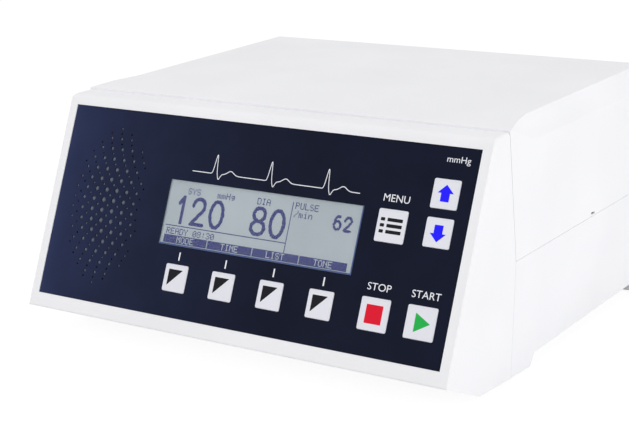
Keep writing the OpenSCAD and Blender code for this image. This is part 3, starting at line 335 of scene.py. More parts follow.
class Bench:
    """A material under work: its graph, its shader and its object coordinates."""

    def __init__(self, name: str) -> None:
        """Makes an empty material with a Principled shader.

        Args:
            name: The material's name.
        """
        self.material = bpy.data.materials.new(name)
        self.material.use_nodes = True
        self.graph = Graph(self.material.node_tree)
        self.shader = self.graph.node("ShaderNodeBsdfPrincipled")
        output = self.graph.node("ShaderNodeOutputMaterial")
        self.graph.link(self.shader.outputs[0], output.inputs["Surface"])
        self.place = self.graph.node("ShaderNodeTexCoord").outputs["Object"]

    def effect(self, kind: Effect, size: float) -> bpy.types.Node:
        """Places a shared effect.

        Args:
            kind: The effect.
            size: The value of its first number.

        Returns:
            The group node.
        """
        tree = bpy.data.node_groups.get(kind.value) or MAKERS[kind]()
        new = self.graph.node("ShaderNodeGroup", node_tree=tree)
        new.inputs[1].default_value = size
        self.graph.link(self.place, new.inputs["Vector"])
        return new

    def bump(self, height: bpy.types.NodeSocket, depth_mm: float, strength: float = 1.0) -> None:
        """Raises the surface by a height map.

        Args:
            height: The height's socket, from 0 to 1.
            depth_mm: How high 1 stands, in millimetres.
            strength: The share of the effect.
        """
        new = self.graph.node("ShaderNodeBump")
        new.inputs["Strength"].default_value = strength
        new.inputs["Distance"].default_value = depth_mm * MM
        self.graph.link(height, new.inputs["Height"])
        self.graph.link(new.outputs[0], self.shader.inputs["Normal"])

    def set(self, **values: object) -> None:
        """Sets shader sockets by name, with an underscore for each space."""
        for name, value in values.items():
            self.shader.inputs[name.replace("_", " ")].default_value = value

    def drive(self, name: str, socket: bpy.types.NodeSocket) -> None:
        """Links a socket to one of the shader's."""
        self.graph.link(socket, self.shader.inputs[name])


class Shade(Enum):
    """The named colours of the object, as measured on its parts."""

    SHELL = linear(243, 243, 246)
    KEY = linear(224, 224, 233)
    PRINT = linear(240, 242, 248)
    BLUE = linear(30, 20, 245)
    RED = linear(218, 14, 44)
    GREEN = linear(34, 172, 74)
    BLACK = linear(10, 11, 20)
    CRYSTAL = linear(181, 192, 196)
    DOT = linear(46, 46, 128)
    FOIL_LEFT = linear(50, 60, 98)
    FOIL_RIGHT = linear(17, 22, 42)
    # PANE_EDGE is the colour of painted light on the window's edge.
    PANE_EDGE = linear(70, 90, 142)
    CLOTH = linear(104, 112, 132)


def dimmed(colour: Colour, share: float) -> Colour:
    """Gives a colour times a share."""
    return tuple(c * share for c in colour)


@dataclass(frozen=True)
class Finish:
    """A named finish. Its dress method sets up the shader."""

    name: str

    def dress(self, bench: Bench) -> None:
        """Sets up the shader on its bench."""
        raise NotImplementedError

    def build(self) -> bpy.types.Material:
        """Builds the material.

        Returns:
            A material whose patterns lie on Object coordinates.
        """
        bench = Bench(self.name)
        self.dress(bench)
        return bench.material


@dataclass(frozen=True)
class Moulded(Finish):
    """Moulded plastic with a fine grain, slow tone changes and faint marks."""

    colour: Colour
    roughness: float = 0.45
    fineness: float = 2600.0
    depth_mm: float = 0.02
    shift: float = 0.03
    marks: float = 0.05
    gloss: float = 0.5
    mark_size: float = 45.0
    dust_share: float = 0.25
    dust_grey: float = 0.55
    grain_share: float = 0.04

    def dress(self, bench: Bench) -> None:
        """Mixes slow tones and dust into the colour, and smears into the roughness.

        Args:
            bench: The material under work.
        """
        graph = bench.graph
        bench.set(Specular_IOR_Level=self.gloss)
        grain = bench.effect(Effect.GRAIN, self.fineness)
        marks = bench.effect(Effect.HANDLING, self.mark_size)
        toned = graph.mix(grain.outputs["Tone"], dimmed(self.colour, 1.0 - self.shift), self.colour)
        dusty = tuple((1.0 - self.dust_share) * c + self.dust_share * self.dust_grey for c in self.colour)
        bench.drive("Base Color", graph.mix(graph.math("MULTIPLY", marks.outputs["Dust"], self.marks), toned, dusty))
        smear = graph.math("MULTIPLY", marks.outputs["Smear"], -self.marks)
        rough = graph.math("ADD", smear, self.roughness)
        fine = graph.math("MULTIPLY", grain.outputs["Tone"], self.grain_share)
        bench.drive("Roughness", graph.math("ADD", rough, fine, clamp=True))
        bench.bump(grain.outputs["Height"], self.depth_mm, 0.6)


@dataclass(frozen=True)
class Foil(Finish):
    """Printed polyester foil: slightly cloudy dark blue whose base colour runs lighter towards the left, with a satin
    skin.
    """

    left: Colour
    right: Colour
    span: tuple[float, float]
    roughness: float = 0.34
    gloss: float = 0.035
    fall: float = 0.3
    cloud: float = 0.16
    smears: float = 0.05
    fineness: float = 5200.0
    depth_mm: float = 0.006
    mark_size: float = 30.0

    def dress(self, bench: Bench) -> None:
        """Runs the colour along Object X: left at the span's start, right at its end, by a power of the share.

        Args:
            bench: The material under work.
        """
        graph = bench.graph
        split = graph.node("ShaderNodeSeparateXYZ")
        graph.link(bench.place, split.inputs[0])
        across = graph.spread(split.outputs[0], self.span[0], self.span[1], 0.0, 1.0)
        ground = graph.mix(graph.math("POWER", across, self.fall), self.left, self.right)
        cloudy = graph.spread(graph.noise(bench.place, 45.0, 4.0), 0.35, 0.65, 0.0, self.cloud)
        bench.drive("Base Color", graph.mix(cloudy, ground, (0.0, 0.0, 0.0)))
        grain = bench.effect(Effect.GRAIN, self.fineness)
        marks = bench.effect(Effect.HANDLING, self.mark_size)
        smear = graph.math("MULTIPLY", marks.outputs["Smear"], self.smears)
        bench.drive("Roughness", graph.math("ADD", smear, self.roughness))
        bench.bump(grain.outputs["Height"], self.depth_mm, 0.5)
        bench.set(Specular_IOR_Level=self.gloss)


@dataclass(frozen=True)
class Ink(Finish):
    """Screen-printed ink: an even colour with a slightly uneven gloss. A glow above zero is painted light: the ink
    gives off light of its own, though it is no lamp.
    """

    colour: Colour
    roughness: float = 0.5
    # Strength of a painted glow: printed ink gives off no light by itself.
    glow: float = 0.0
    gloss: float = 0.12
    thinning: float = 0.93
    uneven: float = 0.06

    def dress(self, bench: Bench) -> None:
        """Lets fine noise thin the colour and change the roughness, and gives the ink any painted glow as emission.

        Args:
            bench: The material under work.
        """
        graph = bench.graph
        tone = graph.spread(graph.noise(bench.place, 3800.0, 2.0), 0.3, 0.7, 0.0, 1.0)
        bench.drive("Base Color", graph.mix(tone, dimmed(self.colour, self.thinning), self.colour))
        rough = graph.spread(tone, 0.0, 1.0, self.roughness - self.uneven, self.roughness + self.uneven)
        bench.drive("Roughness", rough)
        bench.set(Specular_IOR_Level=self.gloss)
        if self.glow > 0.0:
            bench.set(Emission_Color=(*self.colour, 1.0), Emission_Strength=self.glow)


@dataclass(frozen=True)
class Metal(Finish):
    """Drawn or turned metal with fine lines and uneven tarnish."""

    colour: Colour
    roughness: float = 0.32
    fineness: float = 3200.0
    tarnish: float = 0.12

    def dress(self, bench: Bench) -> None:
        """Darkens the colour by slow tones and roughens the surface along its lines.

        Args:
            bench: The material under work.
        """
        graph = bench.graph
        lines = bench.effect(Effect.BRUSHED, self.fineness)
        tarnished = dimmed(self.colour, 1.0 - self.tarnish)
        bench.drive("Base Color", graph.mix(lines.outputs["Tone"], tarnished, self.colour))
        rough = graph.spread(lines.outputs["Line"], 0.3, 0.7, self.roughness - 0.08, self.roughness + 0.1)
        bench.drive("Roughness", rough)
        bench.bump(lines.outputs["Line"], 0.01, 0.4)
        bench.set(Metallic=1.0)


@dataclass(frozen=True)
class Lacquer(Finish):
    """Circuit board: green mask over copper tracks that show as paler lines."""

    colour: Colour
    track: Colour
    field_greys: tuple[float, float] = (0.0, 0.15)

    def dress(self, bench: Bench) -> None:
        """Draws the tracks as the joints of a brick pattern.

        Args:
            bench: The material under work.
        """
        graph = bench.graph
        bricks = graph.node("ShaderNodeTexBrick")
        bricks.inputs["Scale"].default_value = 110.0
        bricks.inputs["Mortar Size"].default_value = 0.035
        for socket, grey in (("Color1", self.field_greys[0]), ("Color2", self.field_greys[1]), ("Mortar", 1.0)):
            bricks.inputs[socket].default_value = (grey, grey, grey, 1.0)
        graph.link(bench.place, bricks.inputs["Vector"])
        bench.drive("Base Color", graph.mix(bricks.outputs["Fac"], self.colour, self.track))
        bench.drive("Roughness", graph.spread(graph.noise(bench.place, 90.0), 0.3, 0.7, 0.22, 0.34))
        bench.bump(bricks.outputs["Fac"], 0.03, 0.5)


@dataclass(frozen=True)
class Cloth(Finish):
    """Thin woven acoustic cloth."""

    colour: Colour
    threads: float = 5200.0
    depth_share: float = 0.45

    def dress(self, bench: Bench) -> None:
        """Darkens the gaps of a plain weave and raises its threads.

        Args:
            bench: The material under work.
        """
        graph = bench.graph
        weave = bench.effect(Effect.WEAVE, self.threads)
        gaps = dimmed(self.colour, self.depth_share)
        bench.drive("Base Color", graph.mix(weave.outputs["Shade"], gaps, self.colour))
        bench.drive("Roughness", graph.spread(weave.outputs["Height"], 0.0, 1.0, 0.95, 0.8))
        bench.bump(weave.outputs["Height"], 0.15, 0.8)
        bench.set(Sheen_Weight=0.3, Sheen_Roughness=0.5)


@dataclass(frozen=True)
class ClearPane(Finish):
    """Clear window foil with a faint tint."""

    tint: Colour
    roughness: float = 0.08
    smears: float = 0.1
    cover: tuple[float, float] = (0.10, 0.14)

    def dress(self, bench: Bench) -> None:
        """Leaves the pane mostly clear, so that what lies under it keeps its colour.

        Args:
            bench: The material under work.
        """
        graph = bench.graph
        smear = graph.noise(bench.place, 60.0, 4.0)
        bench.drive("Roughness", graph.spread(smear, 0.4, 0.7, self.roughness, self.roughness + self.smears))
        bench.drive("Alpha", graph.spread(graph.noise(bench.place, 25.0), 0.3, 0.7, *self.cover))
        bench.set(Base_Color=(*self.tint, 1.0), IOR=1.45)


@dataclass(frozen=True)
class CrystalGround(Finish):
    """Liquid crystal glass: an even grey-green lit from behind, with slow changes of tone."""

    colour: Colour
    glow: float = 0.12
    shift: float = 0.94

    def dress(self, bench: Bench) -> None:
        """Uses one slowly changing colour for the surface and for its light.

        Args:
            bench: The material under work.
        """
        graph = bench.graph
        tone = graph.spread(graph.noise(bench.place, 18.0, 2.0), 0.35, 0.65, 0.0, 1.0)
        colour = graph.mix(tone, dimmed(self.colour, self.shift), self.colour)
        bench.drive("Base Color", colour)
        bench.drive("Emission Color", colour)
        bench.drive("Roughness", graph.spread(graph.noise(bench.place, 2000.0), 0.3, 0.7, 0.3, 0.4))
        bench.set(Emission_Strength=self.glow)


# ---------------------------------------------------------------- meshes


def add_piece(name: str, points: Array, faces: Sequence[Sequence[int]], material: bpy.types.Material,
              body: str, smooth: bool = False) -> bpy.types.Object:
    """Makes a mesh object that rides on a body.

    Args:
        name: The piece's name.
        points: Corners in metres, one row each.
        faces: Corner numbers of each face, anticlockwise from outside.
        material: Its finish.
        body: The body it rides on.
        smooth: Whether its faces are shaded smooth.

    Returns:
        The new object.
    """
    mesh = bpy.data.meshes.new(name)
    mesh.from_pydata(points.tolist(), [], [list(f) for f in faces])
    mesh.polygons.foreach_set("use_smooth", np.full(len(mesh.polygons), smooth))
    mesh.update()
    piece = bpy.data.objects.new(name, mesh)
    bpy.context.scene.collection.objects.link(piece)
    mesh.materials.append(material)
    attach(piece, body)
    return piece


def loft(rings: Sequence[Array]) -> tuple[Array, list[list[int]]]:
    """Joins rings of equal count by quads and closes both ends, the first one downwards.

    Args:
        rings: Rings of points, each anticlockwise seen from the last ring's side.

    Returns:
        Points and faces.
    """
    stack = np.stack(rings)
    levels, count = stack.shape[:2]
    level = np.arange(levels - 1)[:, None] * count
    step = np.arange(count)[None, :]
    after = (step + 1) % count
    walls = np.stack([level + step, level + after, level + after + count, level + step + count], axis=-1)
    ends = [np.arange(count)[::-1].tolist(), (np.arange(count) + (levels - 1) * count).tolist()]
    return stack.reshape(-1, 3), walls.reshape(-1, 4).tolist() + ends


def paint(node: str, material: bpy.types.Material) -> None:
    """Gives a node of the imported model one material.

    Args:
        node: The node's name.
        material: Its finish.
    """
    slots = bpy.data.objects[node].data.materials
    slots.clear()
    slots.append(material)


@dataclass(frozen=True)
class Outline:
    """A flat closed outline in panel millimetres, corners anticlockwise with y up."""

    points: Array

    @staticmethod
    def box(x0: float, x1: float, y0: float, y1: float, radius: float = 0.0, steps: int = 5) -> "Outline":
        """A rectangle with rounded corners: four quarter circles joined by straight sides.

        Args:
            x0, x1: Left and right.
            y0, y1: Upper and lower, counted down.
            radius: Corner radius.
            steps: Steps of each quarter.

        Returns:
            The outline.
        """
        if radius <= 0.0:
            return Outline(np.array([[x0, y1], [x1, y1], [x1, y0], [x0, y0]]))
        turn = np.linspace(0.0, math.pi / 2, steps + 1)
        centres = np.array([[x1 - radius, y0 + radius], [x0 + radius, y0 + radius],
                            [x0 + radius, y1 - radius], [x1 - radius, y1 - radius]])
        angle = turn[None, :] + np.arange(4)[:, None] * math.pi / 2
        arc = np.stack([np.cos(angle), -np.sin(angle)], axis=-1) * radius
        return Outline((centres[:, None, :] + arc).reshape(-1, 2))

    @staticmethod
    def disc(x: float, y: float, diameter: float, steps: int = 16) -> "Outline":
        """A circle as a polygon.

        Args:
            x, y: Its middle.
            diameter: Its width.
            steps: Its corners.

        Returns:
            The outline.
        """
        angle = np.linspace(0.0, 2 * math.pi, steps, endpoint=False)
        return Outline(np.stack([x + np.cos(angle) * diameter / 2, y - np.sin(angle) * diameter / 2], axis=-1))

    @staticmethod
    def of(*points: tuple[float, float]) -> "Outline":
        """An outline through the given corners, put anticlockwise.

        Args:
            *points: The corners in order.

        Returns:
            The outline.
        """
        array = np.array(points, float)
        nxt = np.roll(array, -1, axis=0)
        area = np.sum(array[:, 0] * nxt[:, 1] - nxt[:, 0] * array[:, 1])
        return Outline(array if area < 0 else array[::-1])

    def softened(self, radius: float, steps: int = 4) -> "Outline":
        """Rounds every corner by a quadratic curve that starts at the radius from it.

        Args:
            radius: Distance from the corner to the curve's ends.
            steps: Steps of each curve.

        Returns:
            The softer outline.
        """
        here = self.points
        before, after = np.roll(here, 1, axis=0), np.roll(here, -1, axis=0)
        to_before = (before - here) / np.linalg.norm(before - here, axis=1, keepdims=True)
        to_after = (after - here) / np.linalg.norm(after - here, axis=1, keepdims=True)
        first, last = here + to_before * radius, here + to_after * radius
        t = np.linspace(0.0, 1.0, steps + 1)[None, :, None]
        curve = (1 - t) ** 2 * first[:, None] + 2 * t * (1 - t) * here[:, None] + t ** 2 * last[:, None]
        return Outline(curve.reshape(-1, 2))


@dataclass(frozen=True)
class Panel:
    """The plane of the foil's face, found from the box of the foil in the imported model."""

    width: float
    height: float
    tilt: float
    centre: Array

    @staticmethod
    def from_foil(thickness: float) -> "Panel":
        """Solves depth = h sin a + t cos a and rise = h cos a + t sin a for the foil's lean and height.

        Args:
            thickness: The foil's thickness in metres.

        Returns:
            The plane of its outer face.
        """
        low, high = (np.array(c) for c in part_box("front_foil"))
        size = high - low
        tilt = 0.4
        for _ in range(30):
            tilt = math.atan2(size[1] - thickness * math.cos(tilt), size[2] - thickness * math.sin(tilt))
        height = (size[1] - thickness * math.cos(tilt)) / math.sin(tilt)
        middle = (low + high) / 2
        outward = np.array([0.0, -math.cos(tilt), math.sin(tilt)])
        return Panel(size[0] / MM, height / MM, tilt, middle + outward * thickness / 2)

    @property
    def up(self) -> Array:
        """The direction up the slope."""
        return np.array([0.0, math.sin(self.tilt), math.cos(self.tilt)])

    @property
    def outward(self) -> Array:
        """The direction out of the foil."""
        return np.array([0.0, -math.cos(self.tilt), math.sin(self.tilt)])

    def place(self, flat: Array, lift: Array | float) -> Array:
        """Puts panel points into space: centre + x right + y down the slope + lift outward.

        Args:
            flat: Points in panel millimetres, one row each.
            lift: Height above the foil in millimetres.

        Returns:
            Points in metres.
        """
        x = (flat[..., 0] - self.width / 2) * MM
        y = (self.height / 2 - flat[..., 1]) * MM
        z = np.broadcast_to(np.asarray(lift, float), x.shape) * MM
        right = np.array([1.0, 0.0, 0.0])
        return self.centre + x[..., None] * right + y[..., None] * self.up + z[..., None] * self.outward

    def prisms(self, outlines: Iterable[Outline], low: float, high: float) -> tuple[Array, list[list[int]]]:
        """Raises outlines into closed prisms: a lower ring, an upper ring and the walls between.

        Args:
            outlines: Anticlockwise outlines.
            low, high: Heights above the foil in millimetres.

        Returns:
            Points and faces.
        """
        points, faces, start = [], [], 0
        for outline in outlines:
            count = len(outline.points)
            points += [self.place(outline.points, low), self.place(outline.points, high)]
            ring = np.arange(count)
            after = (ring + 1) % count
            walls = np.stack([ring, after, after + count, ring + count], axis=1) + start
            faces += [(ring[::-1] + start).tolist(), (ring + count + start).tolist(), *walls.tolist()]
            start += 2 * count
        return np.concatenate(points), faces


# ---------------------------------------------------------------- lettering


@dataclass(frozen=True)
class Lettering:
    """Flat letters of Blender's own font, as triangles in a unit that the caller sizes."""

    text: str

    def triangles(self) -> Array:
        """Turns the text into triangles.

        Returns:
            An array of triangles, three points of two numbers each, with y up.
        """
        curve = bpy.data.curves.new("letters", "FONT")
        curve.body = self.text
        curve.resolution_u = 4
        holder = bpy.data.objects.new("letters", curve)
        bpy.context.scene.collection.objects.link(holder)
        mesh = bpy.data.meshes.new_from_object(holder.evaluated_get(bpy.context.evaluated_depsgraph_get()))
        mesh.calc_loop_triangles()
        corners = np.empty(len(mesh.vertices) * 3)
        mesh.vertices.foreach_get("co", corners)
        numbers = np.empty(len(mesh.loop_triangles) * 3, dtype=np.int32)
        mesh.loop_triangles.foreach_get("vertices", numbers)
        bpy.data.objects.remove(holder)
        bpy.data.curves.remove(curve)
        bpy.data.meshes.remove(mesh)
        return corners.reshape(-1, 3)[numbers.reshape(-1, 3)][..., :2]

    def fitted(self, x0: float, x1: float, top: float, base: float) -> Array:
        """Fits the letters into a box of the panel, by their own extent.

        Args:
            x0, x1: Left and right in panel millimetres.
            top, base: Upper and lower, counted down.

        Returns:
            Triangles in panel millimetres, anticlockwise seen from outside.
        """
        shapes = self.triangles()
        low, high = shapes.min(axis=(0, 1)), shapes.max(axis=(0, 1))
        unit = (shapes - low) / (high - low)
        placed = np.stack([x0 + unit[..., 0] * (x1 - x0), base - unit[..., 1] * (base - top)], axis=-1)
        edge_a, edge_b = placed[:, 1] - placed[:, 0], placed[:, 2] - placed[:, 0]
        turned = edge_a[:, 0] * edge_b[:, 1] - edge_a[:, 1] * edge_b[:, 0] > 0
        placed[turned] = placed[turned][:, ::-1]
        return placed


def letter_piece(name: str, triangles: Array, panel: Panel, lift: float, material: bpy.types.Material,
                 body: str) -> bpy.types.Object:
    """Lays letters on the panel as a film of ink, with their shared corners merged.

    Args:
        name: The piece's name.
        triangles: Triangles in panel millimetres.
        panel: The plane.
        lift: Height above the foil in millimetres.
        material: The ink.
        body: The body it rides on.

    Returns:
        The new object.
    """
    flat = triangles.reshape(-1, 2)
    unique, inverse = np.unique(np.round(flat, 5), axis=0, return_inverse=True)
    faces = inverse.reshape(-1, 3)
    alive = (faces[:, 0] != faces[:, 1]) & (faces[:, 1] != faces[:, 2]) & (faces[:, 2] != faces[:, 0])
    return add_piece(name, panel.place(unique, lift), faces[alive].tolist(), material, body)


# ---------------------------------------------------------------- housing


@dataclass(frozen=True)
class Moulding:
    """A white moulding with its outer edges rounded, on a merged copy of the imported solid.

    The thin rounding takes every edge between two faces of the outer skin that turns more sharply than
    60 degrees, and every edge of the panel opening. Edges on a seam get a finer one. Each ridge is a
    range of turning angles in degrees with the width of its rounding, as on the shoulders.
    """

    node: str
    edge_mm: float = 0.7
    seam_mm: float = 0.3
    ridges: tuple[tuple[float, float, float], ...] = ()
    seams: tuple[tuple[int, float], ...] = ((1, -62.8), (1, -63.15), (2, 70.5))
    reach_mm: float = 2.5
    near_mm: float = 0.3
    shortest_mm: float = 1.2
    facing: tuple[float, float, float] = (0.0, -0.911, 0.412)
    alike: float = 0.999
    flat_degrees: float = 0.5
    sharp_degrees: tuple[float, float] = (60.0, 120.0)
    smooth_degrees: float = 31.0

    def skin(self, form: bmesh.types.BMesh) -> Array:
        """Finds the faces of the outer skin: no corner lies further beyond their plane than the reach.

        Args:
            form: The merged copy.

        Returns:
            A mask of its faces.
        """
        form.faces.ensure_lookup_table()
        corners = np.array([v.co for v in form.verts])
        normals = np.array([f.normal for f in form.faces])
        planes = np.array([f.normal.dot(f.verts[0].co) for f in form.faces])
        return (corners @ normals.T).max(axis=0) - planes < self.reach_mm * MM

    def edges(self, form: bmesh.types.BMesh, low: float, high: float, opening: bool) -> list[bmesh.types.BMEdge]:
        """Lists the convex edges of the skin that turn by a range of angles.

        Args:
            form: The merged copy.
            low, high: The range in degrees.
            opening: Whether the edges of the panel opening are wanted too.

        Returns:
            The edges.
        """
        skin = self.skin(form)
        facing = Vector(self.facing)
        found = []
        for edge in form.edges:
            if not edge.is_manifold or edge.calc_length() < self.shortest_mm * MM:
                continue
            if not low < math.degrees(edge.calc_face_angle_signed()) < high:
                continue
            outer = [skin[face.index] for face in edge.link_faces]
            rim = opening and any(o and f.normal @ facing > self.alike for o, f in zip(outer, edge.link_faces))
            if all(outer) or rim:
                found.append(edge)
        return found

    def on_seam(self, edge: bmesh.types.BMEdge) -> bool:
        """Tells whether both ends of an edge lie near the plane of one seam."""
        return any(all(abs(v.co[axis] / MM - at) < self.near_mm for v in edge.verts) for axis, at in self.seams)

    def build(self, material: bpy.types.Material) -> bpy.types.Object:
        """Copies, merges, rounds and shades the moulding.

        Args:
            material: Its finish.

        Returns:
            The new object, which replaces the node.
        """
        form = bmesh.new()
        form.from_mesh(bpy.data.objects[self.node].data)
        bmesh.ops.remove_doubles(form, verts=form.verts, dist=1e-6)
        bmesh.ops.dissolve_limit(form, angle_limit=math.radians(self.flat_degrees), verts=form.verts, edges=form.edges)
        for low, high, width in self.ridges:
            self.round_off(form, self.edges(form, low, high, False), width, 6)
        self.round_off(form, [e for e in self.edges(form, *self.sharp_degrees, True) if self.on_seam(e)],
                       self.seam_mm, 2)
        self.round_off(form, [e for e in self.edges(form, *self.sharp_degrees, True) if not self.on_seam(e)],
                       self.edge_mm, 3)
        for edge in form.edges:
            edge.smooth = edge.is_manifold and edge.calc_face_angle() < math.radians(self.smooth_degrees)
        for face in form.faces:
            face.smooth = True
        mesh = bpy.data.meshes.new(f"{self.node}.soft")
        form.to_mesh(mesh)
        form.free()
        piece = bpy.data.objects.new(f"{self.node}.soft", mesh)
        bpy.context.scene.collection.objects.link(piece)
        mesh.materials.append(material)
        even = piece.modifiers.new("even", "WEIGHTED_NORMAL")
        even.keep_sharp = True
        piece.data = bpy.data.meshes.new_from_object(piece.evaluated_get(bpy.context.evaluated_depsgraph_get()))
        piece.modifiers.clear()
        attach(piece, HOUSING)
        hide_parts(self.node)
        log.info("%s: %d faces", piece.name, len(piece.data.polygons))
        return piece

    def round_off(self, form: bmesh.types.BMesh, edges: list[bmesh.types.BMEdge], width_mm: float,
                  steps: int) -> None:
        """Rounds edges.

        Args:
            form: The merged copy.
            edges: The edges.
            width_mm: Width that the rounding takes from each face.
            steps: Its steps.
        """
        bmesh.ops.bevel(form, geom=edges, offset=width_mm * MM, offset_type="OFFSET", segments=steps, profile=0.5,
                        affect="EDGES", clamp_overlap=True, loop_slide=True)
        bmesh.ops.recalc_face_normals(form, faces=form.faces)


@dataclass
class Housing:
    """The three white mouldings, the lip in their joint and dark plates behind the latch slots that paint the shade in
    them.
    """

    shell: Moulded = Moulded("shell_white", Shade.SHELL.value, roughness=0.55, gloss=0.12)
    mouldings: tuple[Moulding, ...] = (
        Moulding("front_frame"),
        Moulding("top_cover", ridges=((44.0, 60.0, 1.0), (28.0, 44.0, 5.0))),
        Moulding("bottom_shell"),
    )
    slot_shade_y: tuple[float, float] = (35.5, 39.7)
    slot_shade_z: tuple[float, float] = (71.6, 72.8)
    slot_shade_x: tuple[float, float] = (146.85, 147.9)
    lip_half: float = 142.5
    lip: tuple[tuple[float, float], ...] = ((-63.3, 140.3), (-62.8, 140.3), (-62.8, 140.74), (-63.0, 140.74),
                                            (-63.12, 140.68), (-63.24, 140.52))

    def build(self) -> None:
        """Builds the mouldings, the lip and the dark plates of painted shade in the latch slots."""
        material = self.shell.build()
        for moulding in self.mouldings:
            moulding.build(material)
        self.seam_lip(material)
        self.slot_shades()

    def seam_lip(self, material: bpy.types.Material) -> None:
        """Builds the cover's lip that closes the joint above the face: its profile carried from side to side.

        Args:
            material: The mouldings' finish.
        """
        profile = np.array(self.lip)
        rings = [np.insert(profile, 0, x, axis=1) for x in (-self.lip_half, self.lip_half)]
        points, faces = loft(rings)
        add_piece("seam_lip", points * MM, faces, material, HOUSING)

    def slot_shades(self) -> None:
        """Builds dark plates behind the latch slots: painted shade that darkens the slots."""
        # Painted shade: a near-black plate stands where the slot's recess holds only shade.
        dark = Moulded("painted_slot_shade", linear(24, 24, 30), 0.6).build()
        (y0, y1), (z0, z1), (x0, x1) = self.slot_shade_y, self.slot_shade_z, self.slot_shade_x
        outline = np.array([(y0, z0), (y1, z0), (y1, z1), (y0, z1)])
        points, faces = [], []
        for low, high in ((-x1, -x0), (x0, x1)):
            corners, sides = loft([np.insert(outline, 0, x, axis=1) for x in (low, high)])
            faces += [[corner + len(corners) * len(points) for corner in side] for side in sides]
            points.append(corners)
        add_piece("latch_tongues", np.concatenate(points) * MM, faces, dark, HOUSING)


@dataclass
class Inside:
    """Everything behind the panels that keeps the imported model's own shape."""

    def dress(self) -> None:
        """Builds each finish once and paints its nodes."""
        for finish, nodes in self.plan():
            material = finish.build()
            for node in nodes:
                paint(node, material)
            log.info("%s: %s", finish.name, ", ".join(nodes))

    def plan(self) -> list[tuple[Finish, tuple[str, ...]]]:
        """Pairs each finish with its nodes.

        Returns:
            The finishes and the nodes that wear them.
        """
        return [
            (Metal("plate_aluminium", linear(196, 198, 202), 0.38),
             ("front_plate", "rear_panel", "speaker_clips", "pump_bracket", "valve_block", "cuff_port", "mains_pins",
              "inflate_plunger", "bleed_plunger")),
            (Metal("zinc_steel", linear(176, 178, 182), 0.34),
             ("snap_domes", "display_bezel", "speaker_basket", "housing_screws", "frame_screws", "rear_fixings",
              "board_screws", "pump_motor", "pump_shaft", "serial_port")),
            (Metal("bare_brass", linear(206, 176, 102), 0.3), ("keypad_spacers", "display_spacers", "earth_pin")),
            (Lacquer("board_green", linear(22, 88, 52), linear(52, 126, 78)),
             ("keypad_board", "display_board", "main_board", "power_board")),
            (Cloth("acoustic_cloth", linear(92, 94, 104)), ("speaker_cloth",)),
            (Cloth("cone_paper", linear(38, 38, 42), 2600.0), ("speaker_cone",)),
            (Moulded("ferrite", linear(44, 44, 48), 0.6), ("speaker_magnet",)),
            (Moulded("black_plastic", linear(36, 36, 40), 0.45),
             ("valve_coils", "microphone_socket", "mains_inlet", "fuse_drawer", "power_rocker", "board_parts")),
            (Moulded("foot_rubber", linear(70, 70, 76), 0.85, fineness=1500.0, depth_mm=0.05), ("rubber_feet",)),
            (Moulded("hose_silicone", linear(40, 40, 44), 0.55), ("pump_hose", "cuff_hose")),
            (Moulded("winding_tape", linear(214, 186, 92), 0.35), ("power_transformer",)),
            (Moulded("sleeve_dark", linear(52, 56, 78), 0.3), ("power_parts",)),
            (Moulded("painted_casting", linear(58, 58, 62), 0.5, depth_mm=0.05), ("pump_head",)),
            (Moulded("sensor_ceramic", linear(232, 232, 226), 0.4), ("pressure_sensor",)),
            (Moulded("ribbon_grey", linear(196, 198, 204), 0.4), ("front_ribbon",)),
            (Moulded("diffuser", linear(236, 238, 240), 0.6), ("display_backlight",)),
        ]


# ---------------------------------------------------------------- front panel


class Sign(Enum):
    """What a key shows."""

    SOFT = "half-filled square"
    LIST = "three rows"
    UP = "arrow up"
    DOWN = "arrow down"
    STOP = "square"
    START = "triangle"


@dataclass(frozen=True)
class Key:
    """One key: its node and body, the middle of its cap and the sign on it."""

    node: str
    x: float
    y: float
    side: float
    sign: Sign


